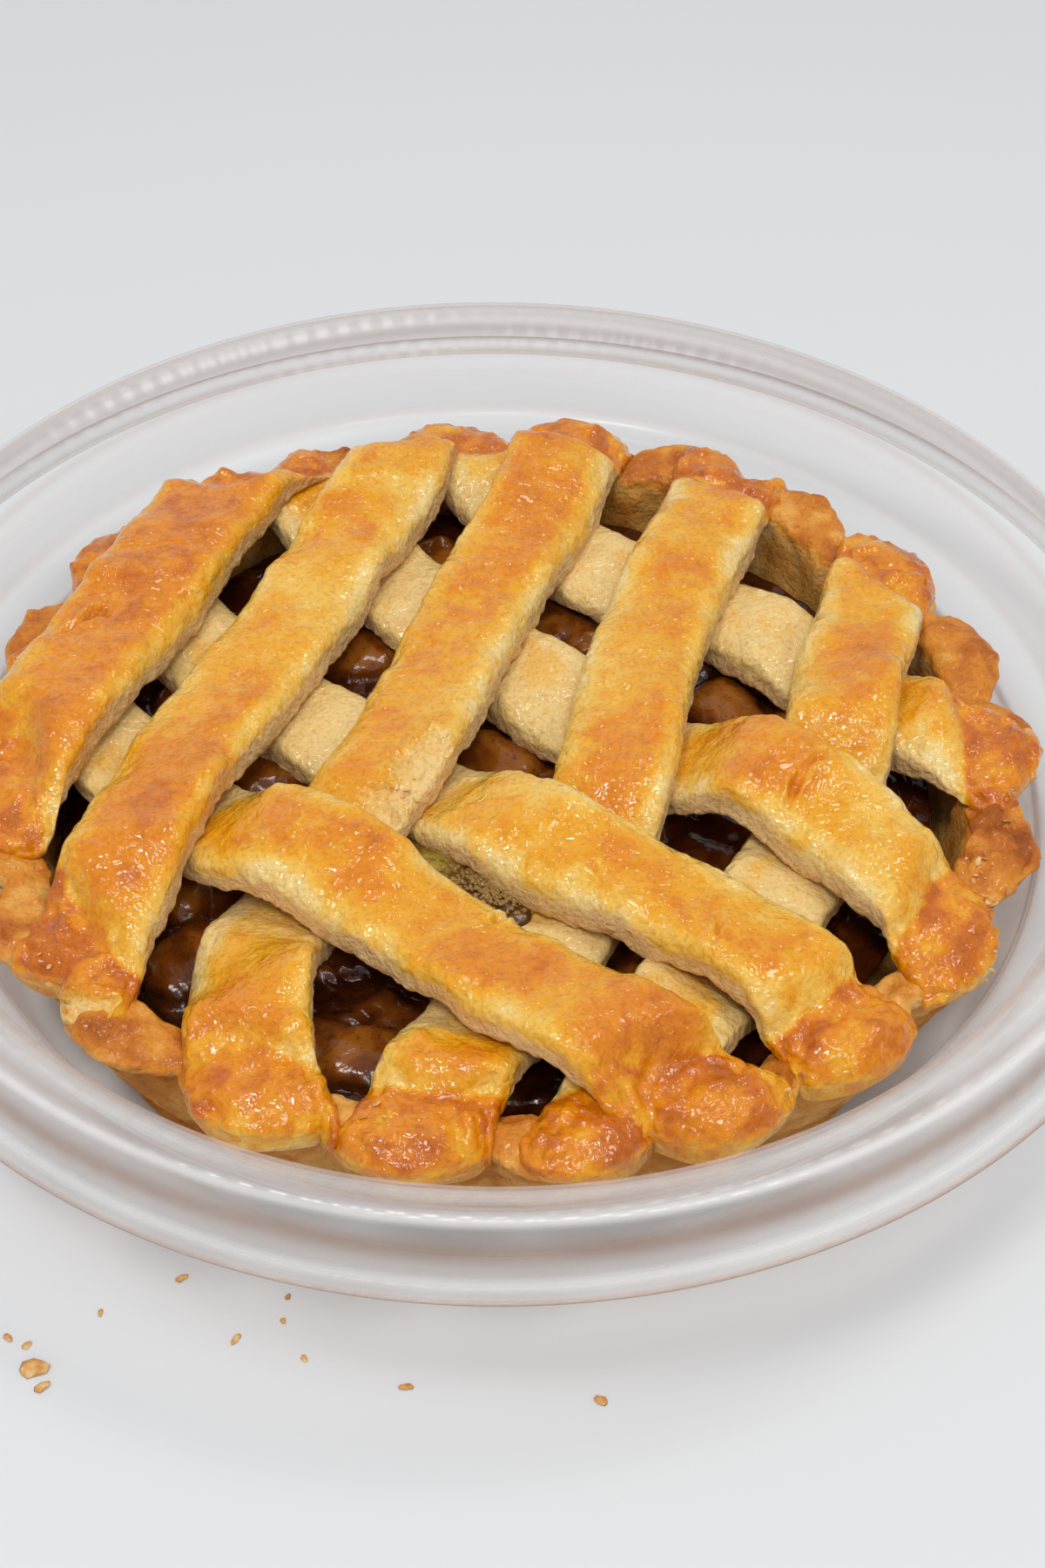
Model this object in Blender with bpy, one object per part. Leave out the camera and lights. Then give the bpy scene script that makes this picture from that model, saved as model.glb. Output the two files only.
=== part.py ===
"""Small round apple pie with a woven lattice top, sitting in its clear thermoformed tray.

Frame: metres, +Z up. The origin is the middle of the tray's flat underside, -Y is the front.
Each piece is one object: the tray, the fluted pastry shell, the apple filling, and the nine
strips of the lattice. The strips are laid one after another, each draped over what is already
there, so the order of LATTICE is the order in which they were put on.
"""

import math
import random

import bmesh
import bpy
import numpy as np
from mathutils import Matrix, Vector
from mathutils.bvhtree import BVHTree

MM = 0.001

# Clear tray: a thin sheet drawn into a round mould, seen as a section from the axis outwards.
SHEET = 0.7 * MM
TRAY_STEPS = 64
FLAT_R = 72.0 * MM
FLOOR_R = 75.0 * MM
FLOOR_CORNER = 5.0 * MM
CORNER_TURNS = (-90, -60, -30)
STEP_R = 83.6 * MM
STEP_Z = 19.0 * MM
SEAT_R = 88.6 * MM
SEAT_Z = 24.6 * MM
LIP_R = 90.0 * MM
LIP_Z = 33.4 * MM
BEAD_R = 98.0 * MM
TRAY_TOP = 41.2 * MM
BEAD_INSIDE = (1.6 * MM, 1.3 * MM)
BEAD_OUTSIDE = (2.2 * MM, 1.4 * MM)
SKIRT_R = 101.0 * MM
SKIRT_Z = 29.2 * MM
FLANGE_R = 105.0 * MM
FLANGE_Z = 30.4 * MM
WELD = 0.02 * MM

# Fluted pastry shell. The rim's points are given by how far they lie in from its edge, or out from its
# inner edge, and down from its crest. A point of the wall is given by its share of the wall's height
# and lean, and by its share of the flutes' depth.
LOBES = 22
LOBE_STEPS = 4
LOBE_POWER = 0.8
FIRST_VALLEY = math.radians(-139.2)
SHELL_Z = SHEET + 0.4 * MM
BASE_R = 70.5 * MM
BASE_ROUND = (1.0 * MM, 1.4 * MM)
BASE_FLUTES = (0.2, 0.35)
DISC_SHARE = 0.6
VALLEY_R = 77.6 * MM
LOBE_DEPTH = 5.4 * MM
RIM_Z = 26.2 * MM
CRUST = 4.6 * MM
RIM_INNER_R = 71.0 * MM
INNER_FLUTE = 0.35
VALLEY_SAG = 0.9 * MM
WANDER_REACH = 0.4
RIM_OUTSIDE = ((0.8 * MM, 3.4 * MM), (0.0, 1.6 * MM), (1.6 * MM, 0.2 * MM))
RIM_INSIDE = ((0.8 * MM, 1.0 * MM), (-0.6 * MM, 3.4 * MM))
WALL_LOW = (0.36, 0.6)
WALL_HIGH = (0.72, 0.8)
WALL_INSIDE = (0.45, 0.3)
INNER_CORNER = 0.6 * MM

# Apple filling.
FILLING_Z = 17.6 * MM
FILLING_GAP = 0.4 * MM
FILLING_SWELL = 0.5 * MM
FILLING_FOOT = (1.2 * MM, 1.0 * MM)
FILLING_SIDE = (0.40, 1.0 * MM, 0.2)
FILLING_EDGE = (5.0 * MM, 1.2 * MM)
FILLING_TOP_IN = 7.0 * MM
FILLING_CROWN = 0.6 * MM
CHUNK_PITCH = 15.0 * MM
CHUNK_TOP = 21.6 * MM
CHUNK_SIZE = (15.0 * MM, 11.5 * MM, 7.6 * MM)
CHUNK_REACH = 65.0 * MM
CHUNK_ROW = 0.87
CHUNK_JITTER = 2.2 * MM
CHUNK_SINK = 2.4 * MM
CHUNK_TIP = 0.35
CHUNK_GROWTH = (0.85, 1.15)
CHUNK_HALF = 0.46
CHUNK_TAPER = 0.62
CHUNK_EDGE = 2.2 * MM

# Lattice strips.
STRIP_THICK = 6.2 * MM
END_THICK = 2.2 * MM
CROWN = 0.5 * MM
SHOULDER = 2.2 * MM
SHOULDER_MOST = 0.4
SHOULDER_UP = 0.93
SIDE_IN = 0.3 * MM
SIDE_UP = 0.66
FOOT_IN = 0.9 * MM
FOOT_UP = 0.22
END_ROUND = 7.5 * MM
END_BLUNT = 0.28
END_PINCH = 15.0 * MM
STATION = 5.0 * MM
REST_GAP = 0.35 * MM
PRESSED_SHARE = 0.6
PRESSED_EDGE = 6 * MM
MOST_TILT = 0.22
TILT_SPAN = 1.2
GENTLE_SLOPE = 0.25
PRESSED_SLOPE = 0.9
EASING = 3
MAP_CELL = 0.7 * MM

# Each strip's name, width, the half of it that later strips press down, and its middle line in
# millimetres from its start, in the order in which the strips lie.
LATTICE = (
    (
        "strip_t4",
        17.0,
        "both",
        (
            (-10, 79), (-4, 67.5), (6, 55), (17, 42), (32, 35.5), (46.5, 23), (57, 10.5), (67, 1.5),
            (78, -6),
        ),
    ),
    (
        "strip_s5",
        16.5,
        "end",
        (
            (66, 45), (61.5, 33), (58, 20), (54, 9), (51.5, -5), (47, -19), (39.5, -33.5), (32, -45),
            (25, -56), (13.5, -80),
        ),
    ),
    (
        "strip_t3",
        17.5,
        "start",
        (
            (-46, 66), (-36.5, 60.5), (-26, 48), (-15.3, 35), (-4, 23.5), (7.7, 12), (18, 2),
            (28.8, -7), (40, -13.5), (49, -21), (56.5, -29), (62.5, -36), (68, -44),
        ),
    ),
    (
        "strip_s4",
        17.5,
        "end",
        (
            (40, 68.5), (34, 48.7), (28.3, 33.7), (23.3, 17), (20, 1.5), (17.5, -13.3), (12.5, -28),
            (7, -41.5), (1, -53.5), (-4.5, -64), (-8, -73), (-10.5, -82),
        ),
    ),
    (
        "strip_t2",
        17.0,
        "start",
        (
            (-67, 43), (-49, 22), (-37, 11), (-25.5, 1.5), (-14.5, -9), (-4, -19), (8.5, -28.4),
            (23, -37), (38, -47.3), (45.5, -55.8), (53, -63.5),
        ),
    ),
    (
        "strip_s3",
        17.5,
        "end",
        (
            (13, 78), (6.5, 52.6), (1, 39.5), (-2, 31.5), (-6.6, 18), (-11.2, 3), (-15.6, -10),
            (-21.5, -21.5), (-28, -32.5), (-32.5, -43.5), (-33.2, -55), (-32, -66), (-29, -78),
        ),
    ),
    (
        "strip_t1",
        17.5,
        "start",
        (
            (-76, 11), (-59, -4), (-49, -14.5), (-38, -25), (-31, -28.5), (-24, -33), (-15, -40),
            (-6, -46.5), (3, -54), (14, -62), (25, -69.5), (35.5, -76),
        ),
    ),
    (
        "strip_s2",
        17.0,
        "none",
        (
            (-17, 78), (-18.8, 60), (-26.8, 39.6), (-32.4, 24.6), (-39.8, 6.6), (-46.3, -9.4),
            (-51.3, -26.3), (-55, -40.5), (-59, -53.5),
        ),
    ),
    (
        "strip_s1",
        18.5,
        "none",
        (
            (-40, 68), (-45, 58), (-51.4, 43.2), (-57, 26.2), (-62.4, 12.7), (-67.4, 0), (-71.4, -10.4),
            (-75.6, -21.5),
        ),
    ),
)


def finish_of(name, colour, roughness, alpha=1.0):
    """A Principled material with one colour, roughness and, for the clear sheet, transparency."""
    material = bpy.data.materials.new(name)
    material.use_nodes = True
    shader = material.node_tree.nodes["Principled BSDF"]
    shader.inputs["Base Color"].default_value = (*colour, 1.0)
    shader.inputs["Roughness"].default_value = roughness
    shader.inputs["Metallic"].default_value = 0.0
    shader.inputs["Alpha"].default_value = alpha
    return material


def object_from(mesh_data, name, material):
    """Turns a bmesh into a smooth-shaded object of the scene."""
    bmesh.ops.recalc_face_normals(mesh_data, faces=mesh_data.faces)
    mesh = bpy.data.meshes.new(name)
    mesh_data.to_mesh(mesh)
    mesh_data.free()
    mesh.shade_smooth()
    mesh.materials.append(material)
    made = bpy.data.objects.new(name, mesh)
    bpy.context.scene.collection.objects.link(made)
    return made


def loft(rings):
    """A closed bmesh through rings of equal length, with a fan from a middle point over each end ring."""
    made = bmesh.new()
    loops = [[made.verts.new(point) for point in ring] for ring in rings]
    for near, far in zip(loops, loops[1:]):
        for i, corner in enumerate(near):
            j = (i + 1) % len(near)
            made.faces.new((corner, near[j], far[j], far[i]))
    for ends in (loops[0], loops[-1]):
        middle = made.verts.new(sum((corner.co for corner in ends), Vector()) / len(ends))
        for i, corner in enumerate(ends):
            made.faces.new((corner, ends[(i + 1) % len(ends)], middle))
    return made


def smooth_line(points, spacing):
    """Points and unit directions along a Catmull-Rom curve through the given points, at even spacing."""
    given = np.array(points, float) * MM
    ahead = np.vstack([2 * given[0] - given[1], given, 2 * given[-1] - given[-2]])
    t = np.linspace(0, 1, 12, endpoint=False)[:, None]
    fine = []
    for a, b, c, d in zip(ahead, ahead[1:], ahead[2:], ahead[3:]):
        fine.append(
            0.5 * (2 * b + (c - a) * t + (2 * a - 5 * b + 4 * c - d) * t**2 + (3 * b - a - 3 * c + d) * t**3)
        )
    fine = np.vstack(fine + [given[-1:]])
    run = np.concatenate([[0], np.cumsum(np.linalg.norm(np.diff(fine, axis=0), axis=1))])
    count = int(round(run[-1] / spacing)) + 1
    at = np.linspace(0, run[-1], count)
    line = np.stack([np.interp(at, run, fine[:, axis]) for axis in (0, 1)], axis=1)
    direction = np.gradient(line, axis=0)
    direction /= np.linalg.norm(direction, axis=1)[:, None]
    return at, line, direction


class HeightMap:
    """The highest surface of everything laid so far, on a square grid over the pie."""

    def __init__(self):
        half = VALLEY_R + LOBE_DEPTH + 2 * MM
        self.axis = np.arange(-half, half, MAP_CELL)
        self.x, self.y = np.meshgrid(self.axis, self.axis, indexing="ij")
        self.top = np.zeros_like(self.x)

    def lay(self, laid):
        """Adds an object, found by rays straight down on each grid point of its box."""
        graph = bpy.context.evaluated_depsgraph_get()
        tree = BVHTree.FromObject(laid, graph)
        corners = np.array([tuple(corner) for corner in laid.bound_box])
        low = np.searchsorted(self.axis, corners.min(axis=0)[:2])
        high = np.searchsorted(self.axis, corners.max(axis=0)[:2])
        start = 2 * TRAY_TOP
        for i in range(low[0], high[0]):
            for j in range(low[1], high[1]):
                hit = tree.ray_cast(Vector((self.axis[i], self.axis[j], start)), Vector((0, 0, -1)))[0]
                if hit is not None:
                    self.top[i, j] = max(self.top[i, j], hit.z)

    def near(self, point, direction, reach, half_width):
        """(across, height) of each grid point within a rectangle that lies along the direction."""
        dx, dy = self.x - point[0], self.y - point[1]
        along = dx * direction[0] + dy * direction[1]
        across = dy * direction[0] - dx * direction[1]
        inside = (abs(along) <= reach + MAP_CELL) & (abs(across) <= half_width + MAP_CELL)
        return across[inside], self.top[inside]


def tray_section():
    """The middle line of the sheet from the axis to the flange's edge: floor, wall, seat, bead, skirt."""
    z0 = SHEET / 2
    turn = [math.radians(angle) for angle in CORNER_TURNS]
    line = [(0.0, z0), (FLAT_R, z0)]
    line += [(FLOOR_R + FLOOR_CORNER * math.cos(a), z0 + FLOOR_CORNER * (1 + math.sin(a))) for a in turn]
    line += [
        (STEP_R, STEP_Z),
        (SEAT_R, SEAT_Z),
        (LIP_R, LIP_Z),
        (BEAD_R - BEAD_INSIDE[0], TRAY_TOP - BEAD_INSIDE[1]),
        (BEAD_R, TRAY_TOP - z0),
        (BEAD_R + BEAD_OUTSIDE[0], TRAY_TOP - BEAD_OUTSIDE[1]),
        (SKIRT_R, SKIRT_Z),
        (FLANGE_R - z0, FLANGE_Z),
    ]
    return np.array(line)


def make_tray():
    """The sheet's section, spun round the axis: its upper side outwards, then its underside back."""
    line = tray_section()
    along = np.gradient(line, axis=0)
    along /= np.linalg.norm(along, axis=1)[:, None]
    across = np.stack([-along[:, 1], along[:, 0]], axis=1) * SHEET / 2
    across[0] = (0, SHEET / 2)
    outline = np.vstack([line + across, (line - across)[::-1]])
    made = bmesh.new()
    corners = [made.verts.new((r, 0, z)) for r, z in outline]
    edges = [made.edges.new(pair) for pair in zip(corners, corners[1:])]
    bmesh.ops.spin(
        made,
        geom=corners + edges,
        cent=(0, 0, 0),
        axis=(0, 0, 1),
        angle=2 * math.pi,
        steps=TRAY_STEPS,
        use_duplicate=False,
    )
    bmesh.ops.remove_doubles(made, verts=made.verts, dist=WELD)
    return object_from(made, "tray", finish_of("clear_sheet", (0.85, 0.87, 0.88), 0.08, 0.3))


def lobe(angle):
    """0 in the valley between two lobes, 1 on a lobe's crest, with sharp valleys and round crests."""
    return abs(math.sin(LOBES / 2 * (angle - FIRST_VALLEY))) ** LOBE_POWER


def rim_unevenness(angle):
    """Slow wander of the rim's height and reach, as hand-crimped dough has."""
    return 0.6 * math.sin(2 * angle + 0.7) + 0.4 * math.sin(5 * angle + 2.0)


def shell_section(angle):
    """(radius, height) of the shell at one angle: under the base, up the fluted wall, over the rim, inside."""
    flute = LOBE_DEPTH * lobe(angle)
    wander = rim_unevenness(angle) * MM
    rim_r = VALLEY_R + flute + WANDER_REACH * wander
    rim_z = RIM_Z + wander - VALLEY_SAG * (1 - lobe(angle))
    inner = RIM_INNER_R + INNER_FLUTE * flute
    wall = rim_z - SHELL_Z
    lean = VALLEY_R - BASE_R
    low, high, inside = [
        (BASE_R + lean * share + depth * flute, SHELL_Z + wall * share)
        for share, depth in (WALL_LOW, WALL_HIGH, WALL_INSIDE)
    ]
    return (
        (BASE_R * DISC_SHARE, SHELL_Z),
        (BASE_R - BASE_ROUND[0] + BASE_FLUTES[0] * flute, SHELL_Z),
        (BASE_R + BASE_FLUTES[1] * flute, SHELL_Z + BASE_ROUND[1]),
        low,
        high,
        *[(rim_r - back, rim_z - down) for back, down in RIM_OUTSIDE],
        ((rim_r + inner) / 2, rim_z),
        *[(inner + out, rim_z - down) for out, down in RIM_INSIDE],
        (inside[0] - CRUST, inside[1]),
        (BASE_R - CRUST, SHELL_Z + CRUST + INNER_CORNER),
        (BASE_R * DISC_SHARE, SHELL_Z + CRUST),
    )


def rings_round(section_at, steps):
    """Rings of points round the axis, one for each point of the section at each angle."""
    angles = [FIRST_VALLEY + 2 * math.pi * i / steps for i in range(steps)]
    sections = [section_at(angle) for angle in angles]
    return [
        [(r * math.cos(a), r * math.sin(a), z) for a, (r, z) in zip(angles, ring)]
        for ring in zip(*sections)
    ]


def make_shell():
    made = loft(rings_round(shell_section, LOBES * LOBE_STEPS))
    return object_from(made, "pastry_shell", finish_of("baked_crust", (0.62, 0.36, 0.13), 0.62))


def filling_section(angle):
    """The filling's core: it fills the shell's hollow, and its top is a little uneven."""
    flute = LOBE_DEPTH * lobe(angle)
    lean = VALLEY_R - BASE_R
    wall = RIM_Z - SHELL_Z
    floor_z = SHELL_Z + CRUST + FILLING_GAP
    swell = FILLING_SWELL * math.sin(3 * angle + 1.0)
    share, gap, depth = FILLING_SIDE
    return (
        (BASE_R * DISC_SHARE, floor_z),
        (BASE_R - CRUST - FILLING_FOOT[0], floor_z + FILLING_FOOT[1]),
        (BASE_R + lean * share - CRUST - gap + depth * flute, SHELL_Z + wall * WALL_INSIDE[0]),
        (RIM_INNER_R - FILLING_EDGE[0], FILLING_Z - FILLING_EDGE[1]),
        (RIM_INNER_R - FILLING_TOP_IN, FILLING_Z + swell),
        (RIM_INNER_R / 2, FILLING_Z + FILLING_CROWN - swell),
    )


def make_chunk(place, turn, tip, size, name):
    """One apple piece: a wedge-like block with rounded edges."""
    made = bmesh.new()
    bmesh.ops.create_cube(made, size=1.0)
    for corner in made.verts:
        if corner.co.x > 0:
            corner.co.y *= CHUNK_TAPER
    bmesh.ops.scale(made, vec=size, verts=made.verts)
    bmesh.ops.bevel(made, geom=made.edges, offset=CHUNK_EDGE, segments=1, affect="EDGES")
    bmesh.ops.rotate(made, matrix=Matrix.Rotation(tip, 3, "X"), verts=made.verts)
    bmesh.ops.rotate(made, matrix=Matrix.Rotation(turn, 3, "Z"), verts=made.verts)
    high = max(corner.co.z for corner in made.verts)
    bmesh.ops.translate(made, vec=(place[0], place[1], place[2] - high), verts=made.verts)
    return object_from(made, name, bpy.data.materials["cooked_apple"])


def chunk_places():
    """A jittered triangular grid over the core, far enough from the wall for a chunk to clear it."""
    draw = random.Random(7)
    rows = int(CHUNK_REACH / CHUNK_PITCH) + 2
    for row in range(-rows, rows + 1):
        for column in range(-rows, rows + 1):
            x = (column + 0.5 * (row % 2)) * CHUNK_PITCH + draw.uniform(-CHUNK_JITTER, CHUNK_JITTER)
            y = row * CHUNK_PITCH * CHUNK_ROW + draw.uniform(-CHUNK_JITTER, CHUNK_JITTER)
            top = CHUNK_TOP - draw.uniform(0.0, CHUNK_SINK)
            turn = draw.uniform(0, math.tau)
            tip = draw.uniform(-CHUNK_TIP, CHUNK_TIP)
            grow = draw.uniform(*CHUNK_GROWTH)
            if math.hypot(x, y) + CHUNK_HALF * grow * math.hypot(*CHUNK_SIZE[:2]) < CHUNK_REACH:
                yield (x, y, top), turn, tip, [side * grow for side in CHUNK_SIZE]


def make_filling():
    """The core with the apple pieces fused on by one union."""
    material = finish_of("cooked_apple", (0.20, 0.07, 0.02), 0.3)
    core = object_from(loft(rings_round(filling_section, LOBES * 2)), "apple_filling", material)
    chunks = bpy.data.collections.new("apple_pieces")
    bpy.context.scene.collection.children.link(chunks)
    for i, (place, turn, tip, size) in enumerate(chunk_places()):
        piece = make_chunk(place, turn, tip, size, f"apple_piece_{i}")
        bpy.context.scene.collection.objects.unlink(piece)
        chunks.objects.link(piece)
    union = core.modifiers.new("fuse apple pieces", "BOOLEAN")
    union.operation = "UNION"
    union.operand_type = "COLLECTION"
    union.collection = chunks
    union.solver = "MANIFOLD"
    graph = bpy.context.evaluated_depsgraph_get()
    fused = bpy.data.meshes.new_from_object(core.evaluated_get(graph))
    core.modifiers.clear()
    core.data = fused
    for piece in list(chunks.objects):
        bpy.data.objects.remove(piece)
    bpy.data.collections.remove(chunks)
    return core


def eased(values):
    """A row of values, each averaged with its neighbours."""
    padded = np.concatenate([values[:1], values, values[-1:]])
    return (padded[:-2] + 2 * padded[1:-1] + padded[2:]) / 4


def strip_thickness(at, line, later):
    """Thickness at each station: full between crossings, less under a later strip and towards the ends."""
    from_end = np.minimum(at, at[-1] - at)
    thick = END_THICK + (STRIP_THICK - END_THICK) * np.clip(from_end / END_PINCH, 0, 1)
    for other, half_width in later:
        apart = np.linalg.norm(line[:, None] - other[None, :], axis=2).min(axis=1) - half_width
        thick *= PRESSED_SHARE + (1 - PRESSED_SHARE) * np.clip(apart / PRESSED_EDGE, 0, 1)
    return thick


def strip_lie(at, line, direction, half_widths, pressed, laid):
    """(height, tilt) of a strip's underside at each station.

    The strip leans towards the lower side and rests on the highest thing below it. From there it sinks
    gently, or steeply on the side where later strips press it down, and is eased without sinking in.
    """
    reach = at[1] - at[0]
    below = [laid.near(p, d, reach, half) for p, d, half in zip(line, direction, half_widths)]
    sides = [h[a > 0].max() - h[a < 0].max() for a, h in below]
    lean = np.array(sides) / (TILT_SPAN * half_widths)
    lean = np.clip(lean, -MOST_TILT, MOST_TILT)
    for _ in range(EASING):
        lean = eased(lean)
    support = np.array([(h - tilt * a).max() for (a, h), tilt in zip(below, lean)]) + REST_GAP
    towards_end = PRESSED_SLOPE if pressed in ("end", "both") else GENTLE_SLOPE
    towards_start = PRESSED_SLOPE if pressed in ("start", "both") else GENTLE_SLOPE
    run = at[:, None] - at[None, :]
    hang = np.max(support[None, :] - np.where(run > 0, towards_end * run, -towards_start * run), axis=1)
    for _ in range(EASING):
        hang = np.maximum(eased(hang), support)
    return hang, lean


def strip_section(half_width, thick):
    """(across, up) points of a strip's section: flat below, rounded shoulders, a slight crown on top."""
    shoulder = min(SHOULDER, SHOULDER_MOST * half_width)
    return (
        (-half_width + FOOT_IN, 0.0),
        (half_width - FOOT_IN, 0.0),
        (half_width, FOOT_UP * thick),
        (half_width - SIDE_IN, SIDE_UP * thick),
        (half_width - shoulder, SHOULDER_UP * thick),
        (0.0, thick + CROWN),
        (-half_width + shoulder, SHOULDER_UP * thick),
        (-half_width + SIDE_IN, SIDE_UP * thick),
        (-half_width, FOOT_UP * thick),
    )


def make_strip(name, plan, pressed, later, laid, material):
    """One dough strip, its ends rounded and thinner where they lie on the rim."""
    at, line, direction, half_widths = plan
    thicks = strip_thickness(at, line, later)
    bottom, lean = strip_lie(at, line, direction, half_widths, pressed, laid)
    rings = []
    for p, d, z, tilt, half, thick in zip(line, direction, bottom, lean, half_widths, thicks):
        section = strip_section(half, thick)
        rings.append([(p[0] - d[1] * a, p[1] + d[0] * a, z + tilt * a + up) for a, up in section])
    strip = object_from(loft(rings), name, material)
    laid.lay(strip)
    return strip


def strip_plan(width, points):
    """(distance, point, direction, half width) at each station of a strip seen from above."""
    at, line, direction = smooth_line(points, STATION)
    from_end = np.minimum(at, at[-1] - at)
    rounding = np.clip(END_BLUNT + from_end / END_ROUND, 0, 1)
    half_widths = 0.5 * width * MM * np.sqrt(1 - (1 - rounding) ** 2)
    return at, line, direction, half_widths


def main():
    for old in list(bpy.data.objects):
        bpy.data.objects.remove(old)
    make_tray()
    laid = HeightMap()
    laid.lay(make_shell())
    laid.lay(make_filling())
    dough = finish_of("egg_washed_dough", (0.80, 0.47, 0.14), 0.38)
    plans = [strip_plan(width, points) for _, width, _, points in LATTICE]
    for i, (name, _, pressed, _) in enumerate(LATTICE):
        later = [(line, halves.max()) for _, line, _, halves in plans[i + 1 :]]
        make_strip(name, plans[i], pressed, later, laid, dough)


main()
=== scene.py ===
"""Lattice apple pie in its clear tray: the visible model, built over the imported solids."""

import math

import bpy
import numpy as np
from mathutils import Matrix, Vector


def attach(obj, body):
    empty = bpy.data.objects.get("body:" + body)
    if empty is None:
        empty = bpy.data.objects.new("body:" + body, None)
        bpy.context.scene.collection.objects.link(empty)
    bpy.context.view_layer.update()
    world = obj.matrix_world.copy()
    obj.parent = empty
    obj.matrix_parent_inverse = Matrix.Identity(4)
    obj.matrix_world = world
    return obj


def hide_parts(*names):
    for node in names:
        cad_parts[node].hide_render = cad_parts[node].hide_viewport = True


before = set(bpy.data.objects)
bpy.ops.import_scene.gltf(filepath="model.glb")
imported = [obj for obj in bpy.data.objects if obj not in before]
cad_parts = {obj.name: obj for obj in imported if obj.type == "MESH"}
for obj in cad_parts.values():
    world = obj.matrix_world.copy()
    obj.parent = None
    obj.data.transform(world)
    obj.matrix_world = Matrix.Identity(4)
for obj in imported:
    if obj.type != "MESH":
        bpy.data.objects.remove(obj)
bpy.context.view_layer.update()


# The photographer's view: a little above the table's edge, looking down at about 45 degrees with a
# normal lens. Its place, turn and focal length were fitted to the tray's and the pie's outlines.
MM = 0.001
FOCAL_LENGTH = 51.206
SENSOR_WIDTH = 36.0
EYE = Vector((3.783, -251.901, 262.181)) * MM
view_data = bpy.data.cameras.new("view")
view_data.lens = FOCAL_LENGTH
view_data.sensor_width = SENSOR_WIDTH
view_data.sensor_fit = "AUTO"
view_data.clip_start = 0.01
view_data.clip_end = 20.0
view = bpy.data.objects.new("view", view_data)
bpy.context.scene.collection.objects.link(view)
view_right = Vector((0.999864, 0.011555, 0.011800))
view_up = Vector((-0.016515, 0.699536, 0.714407))
view_ahead = Vector((0.0, 0.714504, -0.699631))
turned = Matrix((view_right, view_up, -view_ahead)).transposed().to_4x4()
view.matrix_world = Matrix.Translation(EYE) @ turned
bpy.context.scene.camera = view


# The table is a seamless sheet of matt off-white card. Pale walls all round light it softly, and two
# windows and two small lamps high above it give the glints on the wet glaze and the tray.
def colour(hex_text):
    """An sRGB hex colour as linear red, green, blue and alpha: (c + 0.055) / 1.055 to the power 2.4."""
    parts = np.array([int(hex_text[i : i + 2], 16) / 255 for i in (1, 3, 5)])
    linear = np.where(parts <= 0.04045, parts / 12.92, ((parts + 0.055) / 1.055) ** 2.4)
    return (*linear, 1.0)


def add(tree, kind, settings=None, **links):
    """Adds a node. Settings are its attributes, a ramp's (place, colour) stops or, by socket, values;
    links feed its sockets, by name or as _number."""
    node = tree.nodes.new(kind)
    for key, value in (settings or {}).items():
        if key == "stops":
            node.color_ramp.interpolation = "EASE"
            for _ in value[2:]:
                node.color_ramp.elements.new(0.5)
            for band, (place, shade) in zip(node.color_ramp.elements, value):
                band.position = place
                band.color = colour(shade)
        elif hasattr(node, key):
            setattr(node, key, value)
        else:
            node.inputs[int(key) if key.isdigit() else key].default_value = value
    for key, source in links.items():
        tree.links.new(source, node.inputs[int(key[1:]) if key[0] == "_" else key.replace("_", " ")])
    return node


def new_material(name):
    """An empty Principled material: (material, its node tree, its shader)."""
    material = bpy.data.materials.new(name)
    material.use_nodes = True
    return material, material.node_tree, material.node_tree.nodes["Principled BSDF"]


card, tree, shader = new_material("matt_card")
shader.inputs["Base Color"].default_value = colour("#D8D9DA")
shader.inputs["Roughness"].default_value = 0.75
TABLE_REACH = 3.0
table_data = bpy.data.meshes.new("table")
table_corners = [(x * TABLE_REACH, y * TABLE_REACH, 0) for x, y in ((-1, -1), (1, -1), (1, 1), (-1, 1))]
table_data.from_pydata(table_corners, [], [(0, 1, 2, 3)])
table_data.materials.append(card)
table = bpy.data.objects.new("table", table_data)
bpy.context.scene.collection.objects.link(table)


# Each light's name, its place and aim and its width in metres, its watts and its colour.
LIGHTS = (
    ("window", (0.30, 0.10, 1.0), (0, 0, 0), 0.28, 2.3, "#FFFDF8"),
    ("far_wall", (-0.5, 1.5, 0.9), (0, 0.2, 0), 1.2, 1.7, "#F4F8FF"),
    ("near_wall", (-0.3, -1.4, 1.0), (0, -0.1, 0), 1.0, 0.9, "#FFFCF6"),
    ("side_window", (0.45, -0.75, 0.85), (0, 0, 0), 0.22, 1.3, "#FFFFFF"),
    ("lamp", (-0.22, -0.30, 0.95), (0, 0, 0), 0.18, 2.4, "#FFFFFF"),
    ("near_lamp", (0.02, -0.55, 0.85), (0, 0, 0), 0.18, 1.2, "#FFFFFF"),
)
ROOM_GLOW = 0.60


def soft_light(name, place, aim, size, watts, shade):
    """A square area light at a place, turned to an aim. Places and size are in metres."""
    data = bpy.data.lights.new(name, "AREA")
    data.size = size
    data.energy = watts
    data.color = colour(shade)[:3]
    lamp = bpy.data.objects.new(name, data)
    bpy.context.scene.collection.objects.link(lamp)
    lamp.location = place
    lamp.rotation_euler = (Vector(aim) - Vector(place)).to_track_quat("-Z", "Y").to_euler()


for light in LIGHTS:
    soft_light(*light)
room = bpy.data.worlds.new("pale_room")
room.use_nodes = True
room.node_tree.nodes["Background"].inputs["Color"].default_value = colour("#EEF1F5")
room.node_tree.nodes["Background"].inputs["Strength"].default_value = ROOM_GLOW
bpy.context.scene.world = room
bpy.context.scene.view_settings.view_transform = "Standard"
bpy.context.scene.view_settings.look = "None"


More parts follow.
